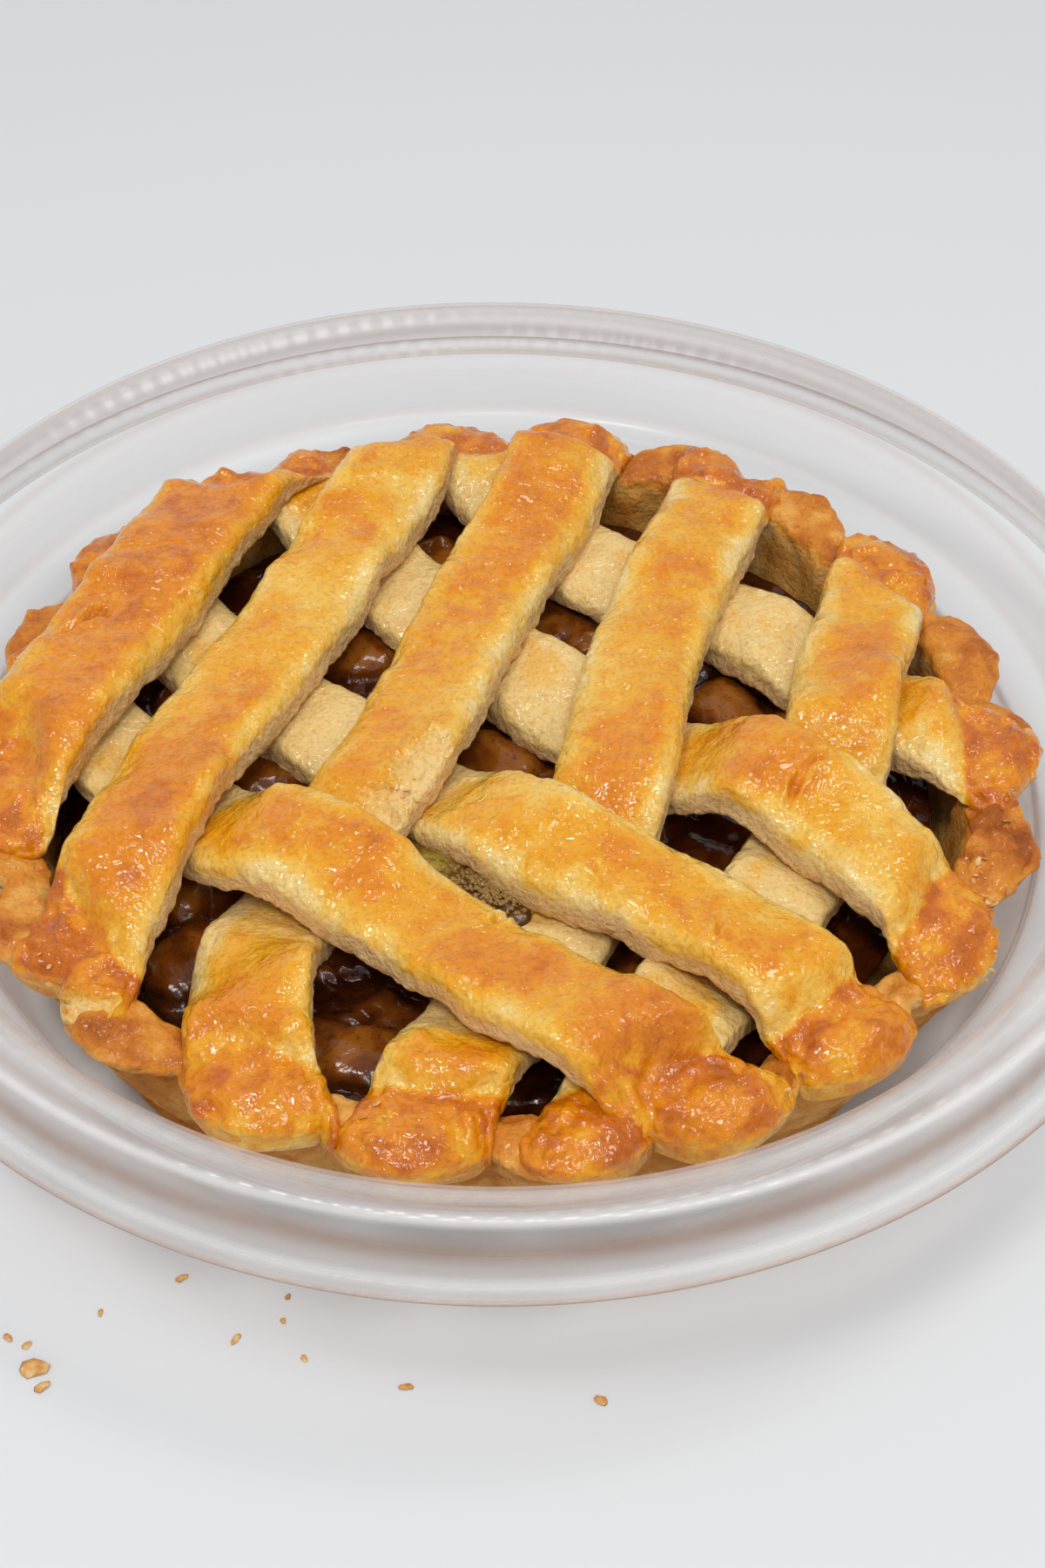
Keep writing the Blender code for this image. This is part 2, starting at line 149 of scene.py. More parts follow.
# The tray is one clear PET sheet, drawn warm into a round mould: a flat floor, a leaning wall with a
# seat for a lid, a rounded bead, an outer skirt and a short flange. Painted highlights along the
# sheet's curves stand in for the light they gather, and the flat parts hardly show.
def through(points, per_span):
    """A Catmull-Rom curve through the points, with this many samples in each span."""
    given = np.asarray(points, float)
    ahead = np.concatenate([2 * given[:1] - given[1:2], given, 2 * given[-1:] - given[-2:-1]])
    t = np.linspace(0, 1, per_span, endpoint=False).reshape((-1,) + (1,) * (given.ndim - 1))
    spans = [
        0.5 * (2 * b + (c - a) * t + (2 * a - 5 * b + 4 * c - d) * t**2 + (3 * b - a - 3 * c + d) * t**3)
        for a, b, c, d in zip(ahead, ahead[1:], ahead[2:], ahead[3:])
    ]
    return np.concatenate(spans + [given[-1:]])


def surface(name, points, faces, values=None, material=None):
    """A smooth-shaded mesh object from point and face arrays, with named values at its points."""
    mesh = bpy.data.meshes.new(name)
    mesh.from_pydata(points.reshape(-1, 3).tolist(), [], faces)
    mesh.polygons.foreach_set("use_smooth", np.ones(len(mesh.polygons), bool))
    for key, value in (values or {}).items():
        layer = mesh.attributes.new(key, "FLOAT", "POINT")
        layer.data.foreach_set("value", np.asarray(value, np.float32).ravel())
    if material:
        mesh.materials.append(material)
    mesh.update()
    made = bpy.data.objects.new(name, mesh)
    bpy.context.scene.collection.objects.link(made)
    return made


def grid_faces(rows, columns, ring=False):
    """Quads over a grid of points whose columns join round. Its rows join too, as a ring, or end in caps."""
    i = np.arange(rows if ring else rows - 1)[:, None]
    j = np.arange(columns)[None, :]
    right, up = (j + 1) % columns, (i + 1) % rows
    quads = np.stack([i * columns + j, i * columns + right, up * columns + right, up * columns + j], axis=-1)
    faces = quads.reshape(-1, 4).tolist()
    if not ring:
        faces += [list(range(columns))[::-1], list(range((rows - 1) * columns, rows * columns))]
    return faces


SHEET = 0.55 * MM
NEARLY_ZERO = 1e-6
TRAY_STEPS = 280
TRAY_SMOOTHING = 8
# Radius and height in mm of the sheet's middle line, from the middle of the floor out to the flange.
TRAY_LINE = (
    (0, 0.35), (40, 0.35), (70, 0.35), (75, 0.4), (78.4, 1.9), (80.2, 5.2), (81.9, 12), (83.6, 19),
    (85.4, 22.2), (88.6, 24.6), (89.2, 28), (90.2, 33.4), (92.8, 37.2), (96.2, 39.9), (98.2, 40.8),
    (99.9, 40.1), (100.5, 38.2), (100.7, 34), (101, 29.4), (102, 28.9), (104.4, 30.2),
)
RIBS = 150


def tray_points():
    """The sheet's middle line, thickened and turned round the axis, and its outline in mm.

    Point (u, v) is the line's point at u, moved half a sheet to one side or the other along its own
    normal, at the angle v.
    """
    line = through(np.array(TRAY_LINE) * MM, TRAY_SMOOTHING)
    along = np.gradient(line, axis=0)
    along /= np.linalg.norm(along, axis=1)[:, None]
    normal = np.stack([-along[:, 1], along[:, 0]], axis=1) * SHEET / 2
    outline = np.vstack([line - normal, (line + normal)[::-1]])
    angle = np.linspace(0, 2 * np.pi, TRAY_STEPS, endpoint=False)
    r, z = np.maximum(outline[:, :1], NEARLY_ZERO), outline[:, 1:]
    return np.stack([r * np.cos(angle), r * np.sin(angle), z + 0 * angle], axis=-1), outline / MM


def lines_on(outline, lines):
    """Bell-shaped bands round the tray: the sum of strength times exp(-(distance / width)^2) of each."""
    total = 0.0
    for r, z, width, strength in lines:
        total = total + strength * np.exp(-((outline[:, 0] - r) ** 2 + (outline[:, 1] - z) ** 2) / width**2)
    return total


# Painted highlights: each band's radius, height and width in mm, and its strength.
PAINTED_HIGHLIGHT_LINES = (
    (83.6, 19.0, 0.6, 0.20), (88.6, 24.6, 1.2, 0.14), (89.9, 33.4, 1.2, 0.10), (95.6, 39.6, 1.0, 0.22),
    (99.7, 40.3, 0.7, 0.55), (101.0, 29.2, 1.0, 0.45), (104.4, 30.2, 0.6, 0.30),
)
# Painted reflection of the brown pie and the shade under it, seen in and through the sheet: bands as above.
PAINTED_REFLECTION_LINES = (
    (91.6, 35.6, 1.2, 0.6), (98.0, 40.8, 0.8, 0.7), (100.7, 35.5, 3.4, 1.0), (104.5, 30.3, 0.7, 1.0),
    (83.6, 19.0, 0.8, 0.9),
)
THIN_VEIL = 0.045
PAINTED_REFLECTION_VEIL = 0.28
STEEP_VEIL = 0.42
STEEPNESS = 2.6
VEIL_CLOUD = 111.1
RIB_FOOT = 26 * MM
RIB_HEAD = 29 * MM
RIB_DEPTH = 0.3 * MM


def per_metre(size):
    """A noise texture's scale that draws features of this size in mm."""
    return 1 / (size * MM)


# PET sheet, drawn from the roll and vacuum formed: clear and glossy, it veils what lies behind it only
# where the eye looks along it. Painted highlights whiten it where it bends, and a painted reflection
# of the pie's warm brown lies at its edges.
# The wall's fine upright ribs, 150 round, are a bump.
pet, tree, shader = new_material("clear_pet_sheet")
facing = add(tree, "ShaderNodeLayerWeight", {"Blend": 0.5}).outputs["Facing"]
steep = add(tree, "ShaderNodeMath", {"operation": "POWER", "1": STEEPNESS}, _0=facing)
# The two attributes read here hold the sheet's thin veil with painted highlights, and a painted reflection
# of the pie; the tint's brown is that painted reflection.
haze = add(tree, "ShaderNodeAttribute", {"attribute_name": "haze"}).outputs["Fac"]
warm = add(tree, "ShaderNodeAttribute", {"attribute_name": "warm"}).outputs["Fac"]
here = add(tree, "ShaderNodeTexCoord").outputs["Object"]
cloud = add(
    tree, "ShaderNodeTexNoise", {"Scale": per_metre(VEIL_CLOUD), "Detail": 1.0}, Vector=here
).outputs["Fac"]
uneven = add(
    tree, "ShaderNodeMapRange", {"From Min": 0.3, "From Max": 0.7, "To Min": 0.7, "To Max": 1.15}, _0=cloud
)
bright = add(tree, "ShaderNodeMath", {"operation": "MULTIPLY"}, _0=haze, _1=uneven.outputs[0])
veil = add(
    tree, "ShaderNodeMath", {"operation": "MULTIPLY_ADD", "1": STEEP_VEIL, "use_clamp": True},
    _0=steep.outputs[0], _2=bright.outputs[0],
)
tree.links.new(veil.outputs[0], shader.inputs["Alpha"])
tint = add(
    tree, "ShaderNodeMix", {"data_type": "RGBA", "6": colour("#F3F2F1"), "7": colour("#B08D78")}, _0=warm
)
tree.links.new(tint.outputs[2], shader.inputs["Base Color"])
apart = add(tree, "ShaderNodeSeparateXYZ", _0=here)
turn = add(tree, "ShaderNodeMath", {"operation": "ARCTAN2"}, _0=apart.outputs["Y"], _1=apart.outputs["X"])
wave = add(tree, "ShaderNodeMath", {"operation": "MULTIPLY", "1": float(RIBS)}, _0=turn.outputs[0])
wave = add(tree, "ShaderNodeMath", {"operation": "SINE"}, _0=wave.outputs[0])
band = add(
    tree, "ShaderNodeMapRange", {"From Min": RIB_FOOT, "From Max": RIB_HEAD, "To Min": 0.0, "To Max": 0.2},
    _0=apart.outputs["Z"],
)
ribs = add(tree, "ShaderNodeBump", {"Distance": RIB_DEPTH}, Height=wave.outputs[0], Strength=band.outputs[0])
tree.links.new(ribs.outputs[0], shader.inputs["Normal"])
shader.inputs["Roughness"].default_value = 0.18
shader.inputs["IOR"].default_value = 1.57
tray_grid, outline = tray_points()
# Painted highlights and a painted reflection of the pie, as bands along the sheet's section.
painted_highlight_bands, painted_reflection_bands = lines_on(outline, PAINTED_HIGHLIGHT_LINES), lines_on(outline, PAINTED_REFLECTION_LINES)
bands = {
    "haze": np.clip(THIN_VEIL + painted_highlight_bands + PAINTED_REFLECTION_VEIL * painted_reflection_bands, 0, 1), "warm": np.clip(painted_reflection_bands, 0, 1),
}
bands = {key: np.repeat(value, TRAY_STEPS) for key, value in bands.items()}
tray = surface("clear_tray", tray_grid, grid_faces(*tray_grid.shape[:2], ring=True), bands, pet)
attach(tray, "root")
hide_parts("tray")


# The shell is shortcrust pressed into a fluted tin, 22 scallops round, so its outer wall leans and
# waves and its rim is a ring of thick rounded scallops, browned on their tops and dull below.
def noise(points, size, seed):
    """Smooth noise from -1 to 1 with bumps of about the given size.

    Two cubic lattices, turned against each other, hold random values at their corners. Each point
    blends the eight corners round it with 3t^2 - 2t^3, and the two lattices' sum is divided by 1.4.
    """
    total = 0.0
    flat = points.reshape(-1, 3)
    for turn in (0.0, 1.1):
        spin = np.array(Matrix.Rotation(turn, 3, Vector((0.6, 0.5, 0.7))))
        place = flat @ spin.T / size + 31.7 * seed + 11.3 * turn
        cell = np.floor(place).astype(np.int64)
        t = place - cell
        t = t * t * (3 - 2 * t)
        for corner in np.ndindex(2, 2, 2):
            mixed = ((cell + corner) * (73856093, 19349663, 83492791)).sum(axis=1) ^ (seed * 9176)
            mixed = ((mixed ^ (mixed >> 13)) * 1274126177) & 0xFFFFFFFF
            value = ((mixed ^ (mixed >> 16)) & 0xFFFF) / 32767.5 - 1
            total = total + value * np.prod(np.where(corner, t, 1 - t), axis=1)
    return (total / 1.4).reshape(points.shape[:-1])


def normals(grid, wrap_rows, wrap_columns):
    """Unit normals of a grid of points: the cross product of its two directions."""
    def slope(axis, wrap):
        if wrap:
            return np.roll(grid, -1, axis) - np.roll(grid, 1, axis)
        return np.gradient(grid, axis=axis)

    across = np.cross(slope(1, wrap_columns), slope(0, wrap_rows))
    return across / np.maximum(np.linalg.norm(across, axis=-1, keepdims=True), 1e-12)


def smooth_step(low, high, value):
    """0 below low, 1 above high, and 3t^2 - 2t^3 between."""
    t = np.clip((value - low) / (high - low), 0, 1)
    return t * t * (3 - 2 * t)


# The shell's lengths are in mm, and shell_line gives them in metres.
LOBES = 22
LOBE_POWER = 0.8
FIRST_VALLEY = math.radians(-139.2)
SHELL_STEPS = LOBES * 31
SHELL_SMOOTHING = 9
VALLEY_R = 77.6
LOBE_DEPTH = 5.4
RIM_Z = 26.2
VALLEY_SAG = 0.9
RIM_INNER_R = 71.0
INNER_FLUTE = 0.35
BASE_R = 70.5
BASE_Z = 1.1
CRUST = 4.6
DISC_SHARE = 0.6


def scallop(angle):
    """(crest, wander, rim radius in mm) at each angle round the shell.

    Crest is |sin| to the power 0.8, and 0 in each valley between two scallops. Wander is the sum of
    two slow waves, by which no real crust is quite round or level.
    """
    crest = np.abs(np.sin(LOBES / 2 * (angle - FIRST_VALLEY))) ** LOBE_POWER
    wander = 0.6 * np.sin(2 * angle + 0.7) + 0.4 * np.sin(5 * angle + 2.0)
    return crest, wander, VALLEY_R + LOBE_DEPTH * crest + 0.4 * wander


def shell_line(angle):
    """(radius, height) rows of the shell's section at each angle, in metres, from below round to inside."""
    crest, wander, rim_r = scallop(angle)
    flute = LOBE_DEPTH * crest
    rim_z = RIM_Z + wander - VALLEY_SAG * (1 - crest)
    inner = RIM_INNER_R + INNER_FLUTE * flute
    wall = rim_z - BASE_Z
    base, lean = BASE_R, VALLEY_R - BASE_R
    floor_z = BASE_Z + CRUST
    zero = 0 * angle
    rows = (
        (zero + 1e-3, zero + BASE_Z),
        (zero + DISC_SHARE * base, zero + BASE_Z),
        (base - 1.0 + 0.2 * flute, zero + BASE_Z),
        (base + 0.35 * flute, zero + BASE_Z + 1.4),
        (base + lean * 0.36 + 0.6 * flute, BASE_Z + wall * 0.36),
        (base + lean * 0.72 + 0.8 * flute, BASE_Z + wall * 0.72),
        (rim_r - 2.0, rim_z - 4.4),
        (rim_r, rim_z - 1.7),
        (rim_r - 1.3, rim_z - 0.2),
        ((rim_r + inner) / 2, rim_z),
        (inner + 0.8, rim_z - 1.0),
        (inner - 0.6, rim_z - 3.4),
        (base + lean * 0.45 - CRUST + 0.3 * flute, BASE_Z + wall * 0.45),
        (zero + base - CRUST, zero + floor_z + 0.6),
        (zero + DISC_SHARE * base, zero + floor_z),
        (zero + 1e-3, zero + floor_z),
    )
    return np.array(rows) * MM


def layered(points, layers, seed=0):
    """The sum of noises over the points. A layer is its bumps' size in mm, its height and its seed."""
    return sum(height * noise(points, size * MM, seed + own) for size, height, own in layers)


CRUMB_LAYERS = ((5, 0.40, 1), (1.8, 0.36, 2), (1.1, 0.18, 3))
BROWNING_LAYERS = ((9, 0.22, 5), (2.6, 0.24, 6))
FLAKE_RISE = 1.1
FLAKE_EDGE = 0.5
PIT_DEPTH = 0.7
PIT_SHARE = 0.40
SHELL_BAKE = 0.30

angle = np.linspace(0, 2 * np.pi, SHELL_STEPS, endpoint=False)
rows = through(shell_line(angle), SHELL_SMOOTHING)
shell_grid = np.stack([rows[:, 0] * np.cos(angle), rows[:, 0] * np.sin(angle), rows[:, 1]], axis=-1)
out = normals(shell_grid, False, True)
rim_edge = scallop(angle)[2]
height = shell_grid[..., 2] / MM
radius = rows[:, 0] / MM
top = smooth_step(22.5, 25.2, height)
inner = np.arange(len(height))[:, None] > 0.62 * len(height)
relief = layered(shell_grid, CRUMB_LAYERS)
flaky = smooth_step(-0.15, 0.35, noise(shell_grid, 11 * MM, 7)) * top
stacked = np.abs(noise(shell_grid * (1, 1, 2.5), 2.6 * MM, 8))
relief += flaky * (FLAKE_RISE * stacked + FLAKE_EDGE * noise(shell_grid, 1.6 * MM, 9))
pits = np.clip(noise(shell_grid, 1.9 * MM, 4) - PIT_SHARE, 0, 1)
relief = (relief - PIT_DEPTH * pits) * smooth_step(1.5, 4, height)
shell_grid = shell_grid + out * relief[..., None] * MM
bake = SHELL_BAKE + 0.30 * top + layered(shell_grid, BROWNING_LAYERS)
bake += 0.16 * smooth_step(78, 82, radius) * top + 0.2 * (1 - top) * (1 - inner)
# Painted light: the inner wall below the rim is made a little paler to stand in for the light reaching it.
bake -= 0.04 * inner * (1 - top)
edge = np.exp(-(((radius - rim_edge) / 0.9) ** 2)) * smooth_step(21, 23, height)
bake -= 0.22 * edge
shell_faces = grid_faces(*shell_grid.shape[:2])
crust_values = {"bake": np.clip(bake, 0, 1), "wash": 0.62 * top + 0.4 * inner * (1 - top)}


DOUGH_PATTERNS = (
    (2.632, {"Detail": 6.0, "Roughness": 0.62}),
    (0.6897, {"Detail": 3.0}),
    (1.786, {"Detail": 4.0, "Distortion": 0.7}),
    (0.6667, {"Detail": 2.0}),
    (2.5, {"Detail": 1.0, "Distortion": 1.4}),
)
GRAIN_SHADES = ((0.3, "#E2D2B4"), (0.55, "#FFFFFF"), (1.0, "#FFFFFF"))
GRAIN_SHARE = 0.6
DRY_ROUGHNESS = 0.82


def baked_dough(name, tops, sides, gloss, glaze):
    """Shortcrust under egg wash.

    It gives the eye a thin, uneven varnish that browns from straw to chestnut, over a pale, dry and
    sandy crumb that shows wherever no wash reached. The grain is flour and fat, about 0.4 mm, and is
    drawn at 0.7 mm so that it shows. Gloss is the roughness under the wash, and glaze the share of the
    egg film, whose own smooth wrinkles catch the lamps. DOUGH_PATTERNS holds the size in mm of the
    blotches, the grain, the film's peel, its crazing and its wrinkles.
    """
    material, tree, shader = new_material(name)
    here = add(tree, "ShaderNodeTexCoord").outputs["Object"]
    bake = add(tree, "ShaderNodeAttribute", {"attribute_name": "bake"}).outputs["Fac"]
    wash = add(tree, "ShaderNodeAttribute", {"attribute_name": "wash"}).outputs["Fac"]
    blotch, grain, peel, crazed, wrinkle = [
        add(tree, "ShaderNodeTexNoise", {"Scale": per_metre(size), **form}, Vector=here).outputs["Fac"]
        for size, form in DOUGH_PATTERNS
    ]
    off = add(tree, "ShaderNodeMath", {"operation": "MULTIPLY_ADD", "1": 0.44, "2": -0.22}, _0=blotch)
    clamped_sum = {"operation": "ADD", "use_clamp": True}
    browned = add(tree, "ShaderNodeMath", clamped_sum, _0=bake, _1=off.outputs[0])
    top_shade = add(tree, "ShaderNodeValToRGB", {"stops": tops}, _0=browned.outputs[0])
    side_shade = add(tree, "ShaderNodeValToRGB", {"stops": sides}, _0=browned.outputs[0])
    shade = add(
        tree, "ShaderNodeMix", {"data_type": "RGBA"},
        _0=wash, _6=side_shade.outputs[0], _7=top_shade.outputs[0],
    )
    speck = add(tree, "ShaderNodeValToRGB", {"stops": GRAIN_SHADES}, _0=grain)
    speckled = add(
        tree, "ShaderNodeMix", {"data_type": "RGBA", "blend_type": "MULTIPLY", "0": GRAIN_SHARE},
        _6=shade.outputs[2], _7=speck.outputs[0],
    )
    tree.links.new(speckled.outputs[2], shader.inputs["Base Color"])
    rough = add(tree, "ShaderNodeMapRange", {"To Min": DRY_ROUGHNESS, "To Max": gloss}, _0=wash)
    patchy = add(tree, "ShaderNodeMath", {"operation": "MULTIPLY_ADD", "1": 0.22, "2": -0.11}, _0=blotch)
    rough_all = add(tree, "ShaderNodeMath", clamped_sum, _0=rough.outputs[0], _1=patchy.outputs[0])
    tree.links.new(rough_all.outputs[0], shader.inputs["Roughness"])
    coat = add(tree, "ShaderNodeMath", {"operation": "MULTIPLY", "1": glaze}, _0=wash)
    tree.links.new(coat.outputs[0], shader.inputs["Coat Weight"])
    shader.inputs["Coat Roughness"].default_value = 0.07
    shader.inputs["Specular IOR Level"].default_value = 0.08
    shader.inputs["Subsurface Weight"].default_value = 0.12
    shader.inputs["Subsurface Radius"].default_value = (1.0, 0.55, 0.25)
    shader.inputs["Subsurface Scale"].default_value = 1.2 * MM
    depth = add(tree, "ShaderNodeMapRange", {"To Min": 0.9, "To Max": 0.2}, _0=wash)
    film = add(tree, "ShaderNodeBump", {"Distance": 0.40 * MM}, Height=grain, Strength=depth.outputs[0])
    for pattern, rise in ((peel, 0.5), (crazed, 0.20)):
        settings = {"Distance": rise * MM, "Strength": 0.8}
        film = add(tree, "ShaderNodeBump", settings, Height=pattern, Normal=film.outputs[0])
    tree.links.new(film.outputs[0], shader.inputs["Normal"])
    skin = add(tree, "ShaderNodeBump", {"Distance": 0.8 * MM, "Strength": 0.9}, Height=wrinkle)
    tree.links.new(skin.outputs[0], shader.inputs["Coat Normal"])
    return material


SHELL_TOPS = ((0.0, "#EEC67C"), (0.3, "#E8AA48"), (0.55, "#DC8A1E"), (0.78, "#C26610"), (1.0, "#94460A"))
SHELL_SIDES = ((0.0, "#E3B87C"), (0.35, "#D39A55"), (0.6, "#BC7B3A"), (1.0, "#8E5222"))
shell_crust = baked_dough("baked_shortcrust", SHELL_TOPS, SHELL_SIDES, gloss=0.36, glaze=0.6)
shell = surface("crust_shell", shell_grid, shell_faces, crust_values, shell_crust)
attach(shell, "root")
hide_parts("pastry_shell")


# The filling is apple pieces baked soft in spiced brown syrup, level with the lower strips. The
# syrup is nearly black where it is deep, and amber and wet over the apple pieces.
CELL = 0.5 * MM
MAP_HALF = 180
PER_EDGE = 20


def cells(x, y):
    """The (row, column) of the map's cell that holds each (x, y)."""
    steps = [np.rint(np.asarray(k) / CELL).astype(int) + MAP_HALF for k in (x, y)]
    return tuple(np.clip(k, 0, 2 * MAP_HALF) for k in steps)


def height_maps(node_name):
    """(top, underside) of a CAD node over a grid of half-millimetre cells, NaN where it is absent.

    Every triangle is sampled on the same barycentric lattice, and each cell keeps its highest and its
    lowest sample.
    """
    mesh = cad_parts[node_name].data
    mesh.calc_loop_triangles()
    points = np.empty(3 * len(mesh.vertices))
    mesh.vertices.foreach_get("co", points)
    corners = np.empty(3 * len(mesh.loop_triangles), np.int32)
    mesh.loop_triangles.foreach_get("vertices", corners)
    corners = points.reshape(-1, 3)[corners.reshape(-1, 3)]
    lattice = np.array(np.nonzero(np.tri(PER_EDGE + 1)[::-1])).T / PER_EDGE
    shares = np.column_stack([lattice, 1 - lattice.sum(axis=1)])
    spots = (shares @ corners).reshape(-1, 3)
    where = cells(spots[:, 0], spots[:, 1])
    top = np.full((2 * MAP_HALF + 1,) * 2, -np.inf)
    low = -top
    np.maximum.at(top, where, spots[:, 2])
    np.minimum.at(low, where, spots[:, 2])
    return np.where(np.isfinite(top), top, np.nan), np.where(np.isfinite(low), low, np.nan)


def blurred(values, sigma, axes, wrap=False):
    """Values averaged along axes with a bell-shaped window of this many cells."""
    reach = int(3 * sigma) + 1
    window = np.exp(-0.5 * (np.arange(-reach, reach + 1) / sigma) ** 2)
    window /= window.sum()
    for axis in axes:
        mode = "wrap" if wrap and axis == axes[-1] else "edge"
        pad = [(reach, reach) if a == axis else (0, 0) for a in range(values.ndim)]
        padded = np.pad(values, pad, mode=mode)
        values = np.apply_along_axis(np.convolve, axis, padded, window, "valid")
    return values


FILLING_R = 67.5 * MM
FILLING_EDGE_Z = 16.0
SYRUP_Z = 17.2
FLESH_Z = 21.0
WAVER = 1.1
SYRUP_LAYERS = ((4.5, 0.45, 21), (1.7, 0.22, 22))
FLESH_LAYERS = ((6, 1.2, 26), (2, 0.5, 27))
# Each apple piece's middle, half length and half width in mm, its turn in degrees and its rise in mm.
CHUNKS = (
    (-21.0, -57.0, 11.0, 6.0, -12, 3.2), (-44.0, -40.0, 8.0, 5.5, 60, 3.0), (-35.3, -2.0, 7.5, 6.5, 20, 3.4),
    (-1.5, 2.6, 8.0, 6.5, -30, 3.2), (-23.2, 27.5, 8.5, 6.5, 15, 3.8), (35.1, 16.0, 7.5, 6.0, 50, 3.2),
    (11.3, 33.5, 7.0, 6.0, -20, 3.0), (26.9, -35.7, 6.5, 5.0, 10, 3.0), (3.1, -49.4, 6.0, 4.5, 35, 2.6),
    (44.0, -12.5, 6.5, 5.0, 70, 3.0), (-9.0, 50.5, 7.0, 5.0, 0, 3.2), (22.0, -21.0, 6.5, 5.0, -40, 2.4),
)
radii = np.linspace(0.0, 1.0, 165) ** 0.75 * FILLING_R
angle = np.linspace(0, 2 * np.pi, 540, endpoint=False)
x = radii[:, None] * np.cos(angle)
y = radii[:, None] * np.sin(angle)
z = height_maps("apple_filling")[0][cells(x, y)]
z = blurred(np.where(np.isnan(z), FILLING_EDGE_Z * MM, z), 1.2, (0, 1), wrap=True)
level_points = np.stack([x, y, z], axis=-1)
grain_x = x / MM + WAVER * noise(level_points, 5 * MM, 24)
grain_y = y / MM + WAVER * noise(level_points, 5 * MM, 25)
wedge = np.zeros(x.shape)
for cx, cy, half_long, half_wide, degrees, rise in CHUNKS:
    c, s = math.cos(math.radians(degrees)), math.sin(math.radians(degrees))
    along = ((grain_x - cx) * c + (grain_y - cy) * s) / half_long
    across = ((grain_y - cy) * c - (grain_x - cx) * s) / half_wide
    wedge = np.maximum(wedge, rise * np.clip(1 - np.abs(along) ** 3 - np.abs(across) ** 3, 0, 1) ** 0.45)
z = np.maximum(z, (SYRUP_Z + wedge) * MM)
top_points = np.stack([x, y, z], axis=-1)
z = z + layered(top_points, SYRUP_LAYERS) * MM
apple = smooth_step(SYRUP_Z, FLESH_Z, z / MM + layered(top_points, FLESH_LAYERS))
skirt = np.array([[67.0, 14.0], [62.0, 8.0], [56.0, 6.6], [0.001, 6.6]]) * MM
skirt_points = np.stack(
    [skirt[:, :1] * np.cos(angle), skirt[:, :1] * np.sin(angle), skirt[:, 1:] + 0 * angle], axis=-1
)
filling_grid = np.concatenate([np.stack([x, y, z], axis=-1), skirt_points])[::-1]
apple = np.concatenate([apple, np.zeros(skirt_points.shape[:2])])[::-1]

SYRUP_SHADES = (
    (0.36, "#260F05"), (0.54, "#431B08"), (0.74, "#62300C"), (0.90, "#7A4010"), (1.0, "#8E5216"),
)
SPICE_SHADES = ((0.30, "#5A3A20"), (0.42, "#FFFFFF"), (1.0, "#FFFFFF"))
SWIRL = 6.667
SPICE = 0.6667
FLESH_SHARE = 0.45

# Sugar syrup with ground cinnamon, boiled thick: nearly black and mirror wet where it is deep, amber
# over the soft apple, with dark specks of spice. The specks are 0.3 mm and drawn at 0.7 mm to show.
syrup, tree, shader = new_material("spiced_apple_syrup")
here = add(tree, "ShaderNodeTexCoord").outputs["Object"]
flesh = add(tree, "ShaderNodeAttribute", {"attribute_name": "apple"}).outputs["Fac"]
swirl, speckle = [
    add(tree, "ShaderNodeTexNoise", {"Scale": per_metre(size), **form}, Vector=here).outputs["Fac"]
    for size, form in ((SWIRL, {"Detail": 6.0, "Distortion": 0.8}), (SPICE, {"Detail": 2.0}))
]
mixed = add(tree, "ShaderNodeMath", {"operation": "MULTIPLY_ADD", "1": FLESH_SHARE}, _0=flesh, _2=swirl)
shade = add(tree, "ShaderNodeValToRGB", {"stops": SYRUP_SHADES}, _0=mixed.outputs[0])
spice = add(tree, "ShaderNodeValToRGB", {"stops": SPICE_SHADES}, _0=speckle)
spiced = add(
    tree, "ShaderNodeMix", {"data_type": "RGBA", "blend_type": "MULTIPLY", "0": 0.45},
    _6=shade.outputs[0], _7=spice.outputs[0],
)
tree.links.new(spiced.outputs[2], shader.inputs["Base Color"])
shader.inputs["Roughness"].default_value = 0.12
shader.inputs["IOR"].default_value = 1.47
bumps = add(tree, "ShaderNodeBump", {"Distance": 0.8 * MM, "Strength": 0.6}, Height=swirl)
tree.links.new(bumps.outputs[0], shader.inputs["Normal"])
filling_faces = grid_faces(*filling_grid.shape[:2])
filling = surface("apple_in_syrup", filling_grid, filling_faces, {"apple": apple}, syrup)
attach(filling, "root")
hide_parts("apple_filling")


# The lattice is nine strips of the same dough, rolled about 5 mm thick, cut 17 mm wide, woven over
# the filling by hand, brushed with beaten egg from above and pressed down on the rim. Each has puffed
# between its crossings; only the brushed tops are glazed, and the cut sides stay pale and sandy.

